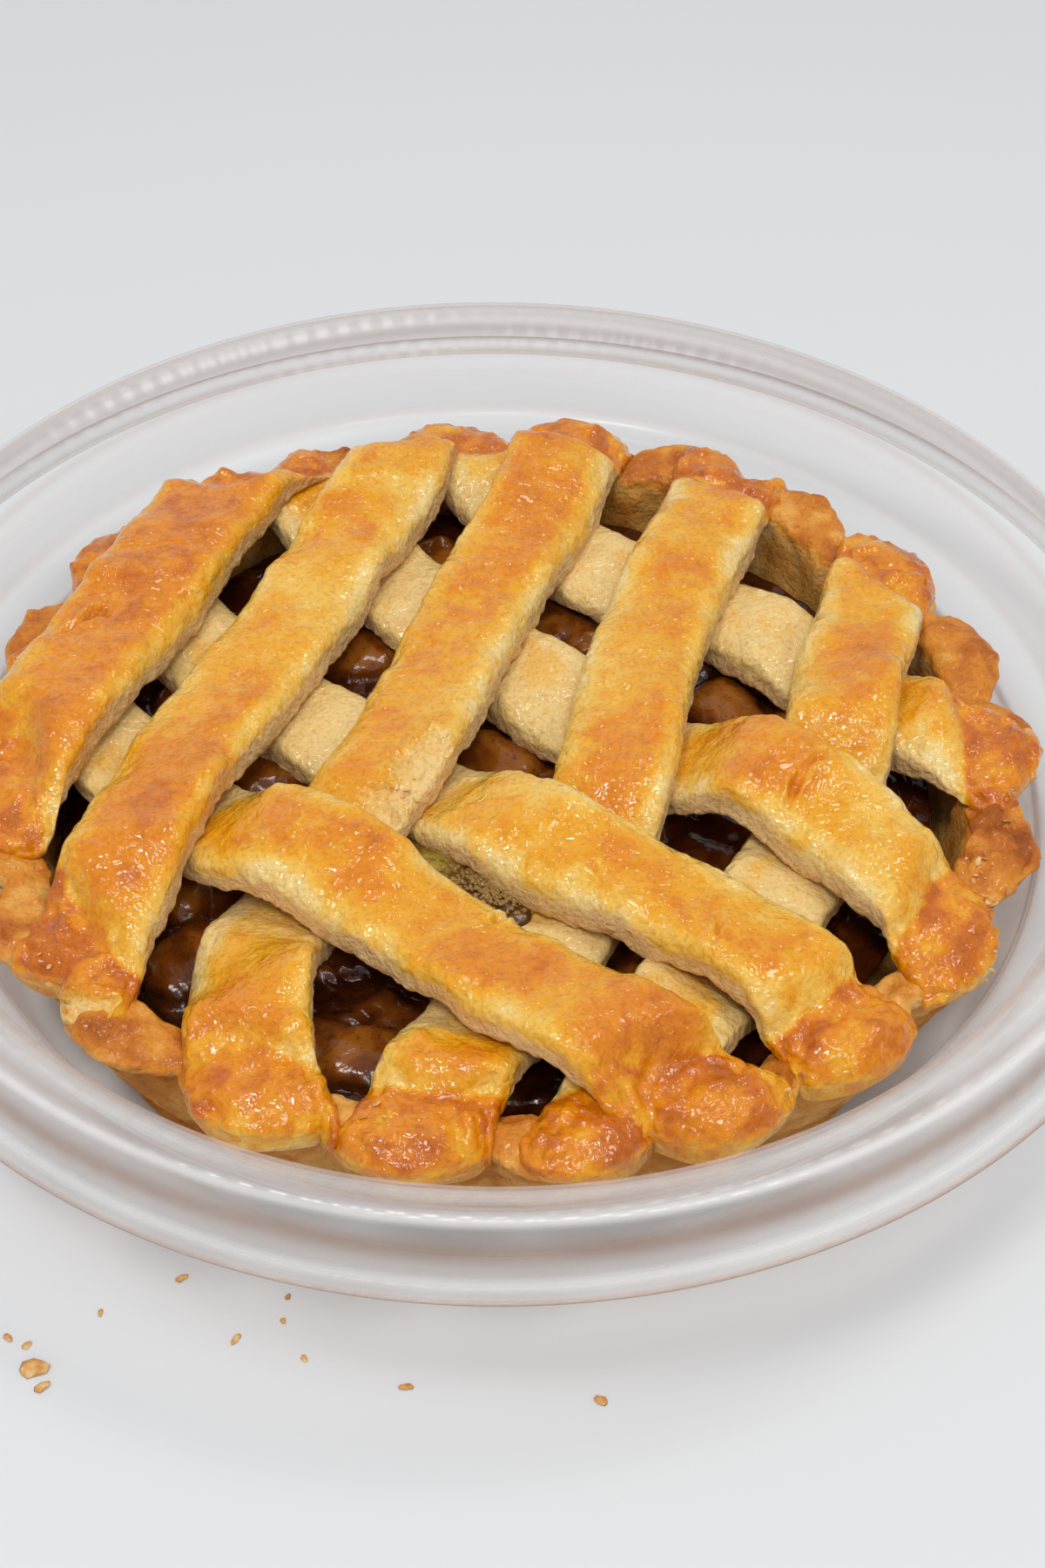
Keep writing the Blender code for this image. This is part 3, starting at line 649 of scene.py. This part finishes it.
# Each strip's width and the points of its middle line seen from above, in mm, in the order of laying.
LATTICE = {
    "strip_t4": (17.0, (
        (-10, 79), (-4, 67.5), (6, 55), (17, 42), (32, 35.5), (46.5, 23), (57, 10.5), (67, 1.5), (78, -6),
    )),
    "strip_s5": (16.5, (
        (66, 45), (61.5, 33), (58, 20), (54, 9), (51.5, -5), (47, -19), (39.5, -33.5), (32, -45),
        (25, -56), (13.5, -80),
    )),
    "strip_t3": (17.5, (
        (-46, 66), (-36.5, 60.5), (-26, 48), (-15.3, 35), (-4, 23.5), (7.7, 12), (18, 2), (28.8, -7),
        (40, -13.5), (49, -21), (56.5, -29), (62.5, -36), (68, -44),
    )),
    "strip_s4": (17.5, (
        (40, 68.5), (34, 48.7), (28.3, 33.7), (23.3, 17), (20, 1.5), (17.5, -13.3), (12.5, -28),
        (7, -41.5), (1, -53.5), (-4.5, -64), (-8, -73), (-10.5, -82),
    )),
    "strip_t2": (17.0, (
        (-67, 43), (-49, 22), (-37, 11), (-25.5, 1.5), (-14.5, -9), (-4, -19), (8.5, -28.4), (23, -37),
        (38, -47.3), (45.5, -55.8), (53, -63.5),
    )),
    "strip_s3": (17.5, (
        (13, 78), (6.5, 52.6), (1, 39.5), (-2, 31.5), (-6.6, 18), (-11.2, 3), (-15.6, -10), (-21.5, -21.5),
        (-28, -32.5), (-32.5, -43.5), (-33.2, -55), (-32, -66), (-29, -78),
    )),
    "strip_t1": (17.5, (
        (-76, 11), (-59, -4), (-49, -14.5), (-38, -25), (-31, -28.5), (-24, -33), (-15, -40), (-6, -46.5),
        (3, -54), (14, -62), (25, -69.5), (35.5, -76),
    )),
    "strip_s2": (17.0, (
        (-17, 78), (-18.8, 60), (-26.8, 39.6), (-32.4, 24.6), (-39.8, 6.6), (-46.3, -9.4), (-51.3, -26.3),
        (-55, -40.5), (-59, -53.5),
    )),
    "strip_s1": (18.5, (
        (-40, 68), (-45, 58), (-51.4, 43.2), (-57, 26.2), (-62.4, 12.7), (-67.4, 0), (-71.4, -10.4),
        (-75.6, -21.5),
    )),
}
AROUND = 132
ALONG_STEP = 0.42 * MM
END_FINE = 3 * MM
END_REACH = 86.0 * MM
SUNK = 0.8 * MM
FLARE = 0.16
PLAN_ROUND = (5.0 * MM, 3.2)
EDGE_ROUND = (2.6 * MM, 2.4)
SIDE_POWERS = (2 / 4.0, 2 / 6.0)
FACE_POWERS = (2 / 3.3, 2 / 5.0)


def rounded(distance, reach, power):
    """A superellipse's quarter: 0 at distance 0 and 1 from reach on, as (1 - (1 - d/reach)^p)^(1/p)."""
    return (1 - (1 - np.clip(distance / reach, 0, 1)) ** power) ** (1 / power)


def beyond_rim(end, away):
    """Points from END_REACH off the axis in to a strip's end, along its direction: the end is cut there."""
    away = away / np.linalg.norm(away)
    middle = end @ away
    gap = -middle + math.sqrt(max(middle**2 - end @ end + END_REACH**2, 0))
    return end + away * np.linspace(np.clip(gap, 0, 5 * MM), 0, 12, endpoint=False)[:, None]


def strip_grid(name, width, points):
    """The strip's surface over (u, v), and what each of its points is.

    u runs along the middle line and v round the section, a superellipse with a flat underside. The
    section's height, thickness and lean at each u are read off the CAD strip and smoothed along it.
    """
    fine = through(np.array(points, float) * MM, 60)
    head = beyond_rim(fine[0], fine[0] - fine[30])
    tail = beyond_rim(fine[-1], fine[-1] - fine[-30])[::-1]
    fine = np.concatenate([head, fine, tail])
    run = np.concatenate([[0], np.cumsum(np.linalg.norm(np.diff(fine, axis=0), axis=1))])
    length = run[-1]
    inside = int((length - 2 * END_FINE) / ALONG_STEP)
    ends = END_FINE * np.linspace(0, 1, 22, endpoint=False) ** 1.6
    at = np.concatenate([ends, np.linspace(END_FINE, length - END_FINE, inside), (length - ends)[::-1]])
    line = np.stack([np.interp(at, run, fine[:, k]) for k in (0, 1)], axis=1)
    even = np.linspace(0, length, 400)
    steady = [blurred(np.interp(even, run, fine[:, k]), 4.0, (0,)) for k in (0, 1)]
    ahead = np.stack([np.interp(at, even, np.gradient(k)) for k in steady], axis=1)
    ahead /= np.linalg.norm(ahead, axis=1)[:, None]
    side = np.stack([-ahead[:, 1], ahead[:, 0]], axis=1)
    from_end = np.minimum(at, length - at)
    flare = 1 + FLARE * (1 - smooth_step(4 * MM, 17 * MM, from_end))
    half = 0.5 * width * MM * flare * rounded(from_end, *PLAN_ROUND)
    top_map, low_map = height_maps(name)
    lane = 0.30 * width * MM
    read = {}
    for step, offset in (("left", -lane), ("mid", 0.0), ("right", lane)):
        where = cells(*(line + side * offset).T)
        found = np.stack([top_map[where], low_map[where]], axis=1)
        known = ~np.isnan(found[:, 0])
        read[step] = np.stack([np.interp(at, at[known], found[known, k]) for k in (0, 1)], axis=1)

    def eased(values):
        steady = np.interp(even, at, values)
        return np.interp(at, even, blurred(steady, 2.4 * MM / (length / 400), (0,)))

    lean = eased((read["right"][:, 1] - read["left"][:, 1]) / (2 * lane))
    bottom = eased(read["mid"][:, 1]) - SUNK
    thick = eased(read["mid"][:, 0] - read["mid"][:, 1]) + SUNK
    end_round = rounded(from_end, *EDGE_ROUND)
    v = np.linspace(0, 2 * np.pi, AROUND, endpoint=False)
    c, s = np.cos(v), np.sin(v)
    across = np.sign(c) * np.abs(c) ** np.where(s > 0, *SIDE_POWERS)
    up = 0.5 + 0.5 * np.sign(s) * np.abs(s) ** np.where(s > 0, *FACE_POWERS)
    a = half[:, None] * across * (1 + 0.03 * (1 - up))
    lift = thick[:, None] * (0.42 + (up - 0.42) * end_round[:, None])
    pinched = 0.75 * (1 - smooth_step(6 * MM, 16 * MM, from_end))[:, None] * np.abs(across) ** 3
    lift = lift * (1 - pinched * smooth_step(0.3, 0.8, up))
    grid = np.empty((len(at), AROUND, 3))
    grid[..., 0] = line[:, :1] + side[:, :1] * a
    grid[..., 1] = line[:, 1:] + side[:, 1:] * a
    below = bottom[:, None] + lean[:, None] * a
    grid[..., 2] = below + lift
    return grid, at, from_end, up, across, below + SUNK


# The pressed ends' lengths in mm, but for EAR_RUN, a distance from the strip's end in metres.
RIM_OVERLAP = 0.5
RIM_TURN = 1.3
RIM_FALL = 1.4
EAR = 2.3
EAR_RADII = (67.3, 71.7)
EAR_RUN = (27 * MM, 17 * MM)
EAR_LIFT = 1.2


def rim_top(x, y):
    """Height in mm of the shell's rim at (x, y) in mm: its crest, less a cubic fall to its outer edge."""
    crest, wander, rim_r = scallop(np.arctan2(y, x))
    inner = RIM_INNER_R + INNER_FLUTE * LOBE_DEPTH * crest
    t = np.clip(2 * (np.hypot(x, y) - inner) / (rim_r - inner) - 1, 0, 1.2)
    return RIM_Z + wander - VALLEY_SAG * (1 - crest) - RIM_FALL * t**3


def pressed_on_rim(grid, up, across, from_end, below, seed):
    """(the grid with its ends pressed on the rim, the share of each point there, how far it came in).

    A point beyond the rim's edge comes in by a tanh, so that the end takes the scallops' outline. Over
    the rim the height blends, by a smooth step of the radius, to an ear on the rim's top or on the
    strip below, 2.3 mm thick in its middle and fading to nothing at its sides.
    """
    x, y = grid[..., 0] / MM, grid[..., 1] / MM
    radius = np.hypot(x, y)
    edge = scallop(np.arctan2(y, x))[2] + RIM_OVERLAP
    over = np.maximum(radius - edge + RIM_TURN, 0)
    kept = np.where(over > 0, edge - RIM_TURN + RIM_TURN * np.tanh(over / RIM_TURN), radius)
    pulled = kept / radius
    share = smooth_step(*EAR_RADII, radius + 0.9 * noise(grid, 6 * MM, seed))
    share = share * smooth_step(*EAR_RUN, from_end)[:, None]
    thick = EAR * (1 - np.abs(across) ** 4) ** 0.5 * (1 - 0.6 * smooth_step(-5.0, 0, kept - edge))
    floor = rim_top(x * pulled, y * pulled)
    floor = np.clip(below / MM - 0.6, floor, floor + EAR_LIFT)
    tip = rounded(from_end, *EDGE_ROUND)[:, None]
    ear = floor + 0.3 + tip * (thick * up - 1.2 * (1 - up) - 0.3) - 0.35 * (radius - kept)
    grid = grid * np.stack([pulled, pulled, 1 + 0 * pulled], axis=-1)
    grid[..., 2] += share * (ear * MM - grid[..., 2])
    return grid, share, radius - kept


# Where the glazed skin came off: each tear's middle and half sizes in mm. A crack has two ends, in mm.
TEARS = {
    "strip_s3": ((-10.6, -16.5, 4.6, 7.5), (-16.0, -22.5, 3.0, 4.0)),
    "strip_s2": ((-60.0, -57.5, 9.0, 2.6),),
    "strip_t3": ((75.0, -38.0, 3.0, 7.0),),
}
CRACKS = {
    "strip_t1": (((-0.7, -45.5), (2.8, -41.3)), ((-29.0, -27.5), (-26.5, -31.0))),
    "strip_t2": (((30.4, -48.8), (31.6, -44.7)), ((13.0, -34.0), (15.0, -36.5))),
    "strip_t3": (((42.5, -22.4), (44.9, -16.0)), ((44.9, -16.0), (48.3, -13.1))),
    "strip_s1": (((-68.7, 11.6), (-57.9, 22.5)),),
    "strip_s4": (((4.5, -45.0), (12.5, -46.5)),),
}


def tears_and_cracks(name, grid, seed):
    """(torn, gap, lip) from 0 to 1 at each point: where the glazed skin came off, cracks and their lips.

    A tear is an ellipse seen from above, with a ragged edge. A crack is a line seen from above, whose
    depth falls off as a bell curve, and it wanders by up to half a millimetre.
    """
    x, y = grid[..., 0] / MM, grid[..., 1] / MM
    ragged = noise(grid, 2.6 * MM, seed) + 0.5 * noise(grid, 1.0 * MM, seed + 1)
    torn, gap, lip = np.zeros((3, *x.shape))
    for cx, cy, rx, ry in TEARS.get(name, ()):
        away = np.hypot((x - cx) / rx, (y - cy) / ry) + 0.35 * ragged
        torn = np.maximum(torn, smooth_step(1.06, 0.94, away))
        lip = np.maximum(lip, np.exp(-(((away - 1.12) / 0.07) ** 2)))
    for start, end in CRACKS.get(name, ()):
        start, run = np.array(start), np.array(end) - np.array(start)
        t = np.clip(((x - start[0]) * run[0] + (y - start[1]) * run[1]) / (run @ run), 0, 1)
        away = np.hypot(x - start[0] - t * run[0], y - start[1] - t * run[1]) + 0.5 * ragged
        along = np.sin(np.pi * np.clip(t, 0.08, 0.92))
        gap = np.maximum(gap, np.exp(-((away / 0.45) ** 2)) * along)
        lip = np.maximum(lip, np.exp(-(((np.abs(away) - 1.1) / 0.45) ** 2)) * along)
    return torn, gap, lip


PUFF_LAYERS = ((13, 0.45, 2), (5.5, 0.25, 3))
SANDY_LAYERS = ((0.9, 0.20, 6), (2.2, 0.22, 7))
DRIP_LAYERS = ((6, 0.16, 0), (1.5, 0.08, 1))
BAKE_LAYERS = ((15, 0.24, 9), (6, 0.15, 10))
EAR_BAKE_LAYERS = ((3.8, 0.32, 21), (1.5, 0.16, 22))
STRIP_BAKE = 0.38
EAR_BAKE = 0.75
DARKEST = 0.86
ARCH_Z = 31.5
PRESS_R = 69.9
TEAR_DEPTH = 0.75
CRACK_DEPTH = 1.3
LIP_RISE = 0.55


def dress_strip(name, seed):
    """(The strip's grid, puffed, blistered and roughened along its normal; its browning and its wash).

    Relief is a sum of noises on top and another, sandier one on the cut sides, with the tears, cracks
    and their lips added. Browning rises with the strip's height and is deepest at the pressed ends,
    and it falls at the shoulders. Wash ends at a wavy drip line on the sides.
    """
    width, points = LATTICE[name]
    grid, at, from_end, up, across, below = strip_grid(name, width, points)
    grid, near_end, squeezed = pressed_on_rim(grid, up, across, from_end, below, seed + 11)
    out = normals(grid, False, True)
    if out[len(at) // 2, AROUND // 4, 2] < 0:
        out = -out
    lift = grid[..., 2] / MM
    radius = np.hypot(grid[..., 0], grid[..., 1]) / MM
    top = smooth_step(0.55, 0.95, up)[None, :]
    drip = 0.62 + layered(grid, DRIP_LAYERS, seed) - 0.42 * near_end
    wash = smooth_step(drip - 0.12, drip + 0.12, up[None, :] + 0 * drip)
    puff = layered(grid, PUFF_LAYERS, seed) * (1 - 0.7 * near_end)
    blister = np.clip(noise(grid, 2.6 * MM, seed + 4) - 0.2, 0, 1) * (0.5 + 0.4 * near_end)
    patch = smooth_step(-0.2, 0.4, noise(grid, 9 * MM, seed + 12))
    fine = 0.07 * noise(grid, 0.9 * MM, seed + 5)
    fine += (0.24 * patch + 0.36 * near_end) * noise(grid, 1.4 * MM, seed + 13)
    pits = 0.8 * near_end * np.clip(noise(grid, 1.8 * MM, seed + 14) - 0.15, 0, 1)
    sandy = layered(grid, SANDY_LAYERS, seed)
    low_edge = smooth_step(0.35, 0.1, up) * smooth_step(0.0, 0.06, up)
    hem = 0.35 * noise(grid, 1.7 * MM, seed + 8) * low_edge[None, :]
    press = np.exp(-(((radius - PRESS_R) / 0.9) ** 2)) * np.clip(noise(grid, 1.7 * MM, seed + 18), 0, 1)
    relief = top * (puff + blister + fine - pits + 0.5 * press) + (1 - top) * sandy + hem
    torn, gap, lip = tears_and_cracks(name, grid, seed + 15)
    rough_skin = 0.55 * torn * noise(grid, 2.0 * MM, seed + 17)
    relief += top * (LIP_RISE * lip - TEAR_DEPTH * torn + rough_skin - CRACK_DEPTH * gap)
    settled = smooth_step(0, 1.5 * MM, from_end)[:, None] * smooth_step(3.0, 0.8, squeezed)
    grid = grid + out * (relief * settled)[..., None] * MM
    shoulder = smooth_step(0.42, 0.92, np.abs(across) + 0.10 * noise(grid, 4 * MM, seed + 19))
    bake = STRIP_BAKE + 0.045 * np.clip(lift - ARCH_Z, -6, 4) + layered(grid, BAKE_LAYERS, seed)
    bake += 0.06 * smooth_step(45, 66, radius) - 0.26 * shoulder * (1 - near_end)
    bake = np.where(bake > 0.5, 0.5 + 0.2 * np.tanh((bake - 0.5) / 0.2), bake)
    ear = smooth_step(70.5, 71.5, radius + 1.1 * noise(grid, 5 * MM, seed + 20))
    ear *= smooth_step(0.3, 0.6, near_end)
    bake += 0.10 * np.clip(blister, 0, 1) + (0.10 + 0.08 * near_end) * noise(grid, 2.4 * MM, seed + 23)
    bake += 0.85 * ear * (EAR_BAKE + layered(grid, EAR_BAKE_LAYERS, seed) - bake)
    bake -= 0.16 * smooth_step(0.1, 0.9, squeezed) + 0.20 * pits
    # Painted shade: cracks are made darker along their grooves. Torn skin and the lips round tears and
    # cracks are paler.
    bake = bake * (1 - 0.6 * torn) - 0.14 * lip + 0.12 * gap
    dry = smooth_step(29.5, 27.5, lift) * smooth_step(64, 58, radius) * top
    bake -= 0.14 * dry
    wash = wash * (1 - 0.5 * torn) * (1 - 0.3 * dry)
    return grid, {"bake": np.clip(bake, 0.02, DARKEST), "wash": wash}


DOUGH_TOPS = (
    (0.0, "#E8CA82"), (0.2, "#E8B648"), (0.4, "#E49E12"), (0.6, "#DC8402"), (0.8, "#C46604"),
    (1.0, "#964206"),
)
DOUGH_SIDES = ((0.0, "#E3BE86"), (0.5, "#D8A25E"), (1.0, "#A8682C"))
FIRST_SEED = 100
SEEDS_A_STRIP = 20
strip_dough = baked_dough("egg_washed_shortcrust", DOUGH_TOPS, DOUGH_SIDES, gloss=0.24, glaze=0.95)
lattice_pieces = []
for number, name in enumerate(LATTICE):
    grid, values = dress_strip(name, FIRST_SEED + SEEDS_A_STRIP * number)
    piece = surface("dough_" + name, grid, grid_faces(*grid.shape[:2]), values, strip_dough)
    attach(piece, "root")
    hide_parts(name)
    lattice_pieces.append(piece)


# Juice has boiled up between the strips near the middle and set to a green-gold jelly, with a line of
# small foam bubbles along its near edge.
POOL_MIDDLE = (-4.8, -30.4)
POOL_TURN = math.radians(-41)
POOL_HALF = (12.5, 6.0)
POOL_Z = 27.2
POOL_FOOT = 20.0
POOL_FALL = 1.6
POOL_LAYERS = ((3.5, 0.35, 51), (1.2, 0.12, 52))
GREEN_SPOT = (-8.4, -28.0)
GREEN_REACH = 3.0
JELLY_CLOUD = 1.4286
JELLY_SHADES = ((0.1, "#3A200A"), (0.45, "#624014"), (0.8, "#857020"), (1.0, "#9C8A30"))


def on_pool(along, aside, fall):
    """Points at two distances in mm along the pool's axes, dropping as the fourth power of fall, 0 to 1."""
    return np.stack([
        POOL_MIDDLE[0] + along * math.cos(POOL_TURN) - aside * math.sin(POOL_TURN),
        POOL_MIDDLE[1] + along * math.sin(POOL_TURN) + aside * math.cos(POOL_TURN),
        POOL_Z - POOL_FALL * fall**4 + 0 * along,
    ], axis=-1) * MM


round_it = np.linspace(0, 2 * np.pi, 96, endpoint=False)
out_share = np.linspace(0.002, 1, 40)[::-1, None]
px = POOL_HALF[0] * out_share * np.cos(round_it)
py = POOL_HALF[1] * out_share * np.sin(round_it)
pool = on_pool(px, py, out_share)
pool[..., 2] += layered(pool, POOL_LAYERS) * MM
under = pool[::-1].copy()
under[..., 2] = POOL_FOOT * MM
pool = np.concatenate([under, pool])
green = np.exp(-np.sum((pool[..., :2] / MM - GREEN_SPOT) ** 2, axis=-1) / GREEN_REACH**2)

# Apple juice set by its own pectin: a wet, cloudy jelly, brown at its edge and green-gold at its heart.
jelly, tree, shader = new_material("set_apple_jelly")
green_share = add(tree, "ShaderNodeAttribute", {"attribute_name": "green"}).outputs["Fac"]
here = add(tree, "ShaderNodeTexCoord").outputs["Object"]
cloud = add(
    tree, "ShaderNodeTexNoise", {"Scale": per_metre(JELLY_CLOUD), "Detail": 3.0}, Vector=here
).outputs["Fac"]
mixed = add(tree, "ShaderNodeMath", {"operation": "MULTIPLY_ADD", "1": 0.5}, _0=cloud, _2=green_share)
shade = add(tree, "ShaderNodeValToRGB", {"stops": JELLY_SHADES}, _0=mixed.outputs[0])
tree.links.new(shade.outputs[0], shader.inputs["Base Color"])
shader.inputs["Roughness"].default_value = 0.18
shader.inputs["IOR"].default_value = 1.42
jelly_pool = surface("juice_pool", pool, grid_faces(*pool.shape[:2]), {"green": green}, jelly)
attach(jelly_pool, "root")

FOAM_COUNT = 700
FOAM_RISE = 0.15


def scattered(form, places, turns):
    """(points, faces) of copies of a closed grid, each times its own 3 x 3 matrix, moved to its place."""
    rows, columns = form.shape[:2]
    points = np.einsum("nij,rcj->nrci", turns, form) + places[:, None, None]
    faces = grid_faces(rows, columns)
    shift = rows * columns * np.arange(len(places))[:, None, None]
    sides = (np.array(faces[:-2]) + shift).reshape(-1, 4).tolist()
    return points, sides + (np.array(faces[-2:]) + shift).reshape(-1, columns).tolist()


def ball(rows, columns):
    """A unit sphere as a closed grid of points, from its top to its bottom."""
    down = np.linspace(0.04, np.pi - 0.04, rows)[:, None]
    turn = np.linspace(0, -2 * np.pi, columns, endpoint=False)
    ring = np.sin(down)
    return np.stack([ring * np.cos(turn), ring * np.sin(turn), np.cos(down) + 0 * turn], axis=-1)


draw = np.random.default_rng(11)
along = draw.normal(4.0, 4.2, FOAM_COUNT).clip(-11, 11.8)
aside = draw.normal(0.2, 2.6, FOAM_COUNT).clip(-5.2, 5.2)
places = on_pool(along, aside, np.hypot(along / POOL_HALF[0], aside / POOL_HALF[1]).clip(0, 1))
places[:, 2] += FOAM_RISE * MM
sizes = (0.14 + 0.30 * draw.random(FOAM_COUNT) ** 2.2) * MM

# Foam is air in thin films of the juice: half clear, with a sharp glint on each bubble.
foam_skin, tree, shader = new_material("juice_foam")
shader.inputs["Base Color"].default_value = colour("#B48C50")
shader.inputs["Roughness"].default_value = 0.08
shader.inputs["Alpha"].default_value = 0.55
bubbles = scattered(ball(7, 9), places, np.eye(3) * sizes[:, None, None])
foam = surface("juice_foam", *bubbles, None, foam_skin)
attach(foam, "root")


# Thin flakes of baked dough have come off the strips' torn skin and the rim and lie where they fell,
# on the crust and on the table in front of the tray.

# Each heap of flakes: its middle and reach in mm and its count. Each crumb: its place and size in mm.
FLAKE_SPOTS = (
    (71.0, -26.7, 2.6, 14), (72.8, -31.8, 2.6, 14), (74.5, -38.0, 2.6, 18), (70.5, -45.8, 2.2, 12),
    (77.5, -13.0, 2.0, 8), (75.0, -18.0, 2.2, 8), (-12.5, -19.5, 3.0, 12), (-61.0, -53.5, 3.0, 8),
    (-15.0, -75.5, 2.5, 4), (37.0, -66.5, 3.5, 6),
)
TABLE_CRUMBS = (
    (-59.5, -96.5, 1.9), (-41.7, -82.0, 0.9), (-33.3, -91.2, 0.9), (-63.8, -91.6, 0.8), (-61.0, -92.8, 0.7),
    (-27.3, -88.3, 0.5), (-26.9, -84.6, 0.5), (-10.1, -98.0, 1.0), (-52.0, -87.5, 0.6), (-58.0, -99.0, 1.1),
    (15.5, -99.5, 0.9), (-24.0, -94.0, 0.6),
)
FLAKE_SHADES = ((0.3, "#B87636"), (0.5, "#D8A05A"), (0.7, "#E9C68E"))
FLAKE_CLOUD = 2.0
LOWEST_FLAKE = 20 * MM
FLAKE_WIDTH = (0.45, 0.4)
FLAKE_THICKNESS = 0.22
CRUMB_LIFT = 0.33
FLAKE_LIFT = 0.12
piled = np.zeros((2 * MAP_HALF + 1,) * 2)
for piece in [shell] + lattice_pieces:
    points = np.empty(3 * len(piece.data.vertices))
    piece.data.vertices.foreach_get("co", points)
    points = points.reshape(-1, 3)
    np.maximum.at(piled, cells(points[:, 0], points[:, 1]), points[:, 2])
draw = np.random.default_rng(5)
spots = np.repeat(np.array(FLAKE_SPOTS), [spot[3] for spot in FLAKE_SPOTS], axis=0)
on_crust = (spots[:, :2] + draw.normal(size=(len(spots), 2)) * spots[:, 2:3] * 0.6) * MM
on_crust = np.column_stack([on_crust, piled[cells(*on_crust.T)] + FLAKE_LIFT * MM])
on_crust = on_crust[on_crust[:, 2] > LOWEST_FLAKE]
on_table = np.array(TABLE_CRUMBS) * MM
places = np.concatenate([on_crust, np.column_stack([on_table[:, :2], CRUMB_LIFT * on_table[:, 2]])])
sizes = np.concatenate([(0.25 + 0.55 * draw.random(len(on_crust)) ** 2) * MM, on_table[:, 2]])
lean = draw.normal(0, 0.35, (len(places), 2))
spin = draw.random(len(places)) * 2 * np.pi
zero, one = 0 * spin, 0 * spin + 1
cosine, sine = np.cos(spin), np.sin(spin)
turn = np.array([[cosine, -sine, zero], [sine, cosine, zero], [zero, zero, one]]).transpose(2, 0, 1)
wide = FLAKE_WIDTH[0] + FLAKE_WIDTH[1] * draw.random(len(places))
turn = turn * np.stack([one, wide, FLAKE_THICKNESS * one], axis=1)[:, None]
turn[:, 2, :2] += lean * smooth_step(0.0, 0.001, places[:, 2:])
flake = ball(6, 9)
flake = flake * (1 + 0.45 * noise(flake, 0.7, 61))[..., None]

# A flake is a scale of egg-washed crust, dry and light: straw to brown, with a dull surface.
flake_skin, tree, shader = new_material("baked_flake")
here = add(tree, "ShaderNodeTexCoord").outputs["Object"]
cloud = add(
    tree, "ShaderNodeTexNoise", {"Scale": per_metre(FLAKE_CLOUD), "Detail": 2.0}, Vector=here
).outputs["Fac"]
shade = add(tree, "ShaderNodeValToRGB", {"stops": FLAKE_SHADES}, _0=cloud)
tree.links.new(shade.outputs[0], shader.inputs["Base Color"])
shader.inputs["Roughness"].default_value = 0.7
scales = scattered(flake, places, turn * sizes[:, None, None])
flakes = surface("pastry_flakes", *scales, None, flake_skin)
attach(flakes, "root")
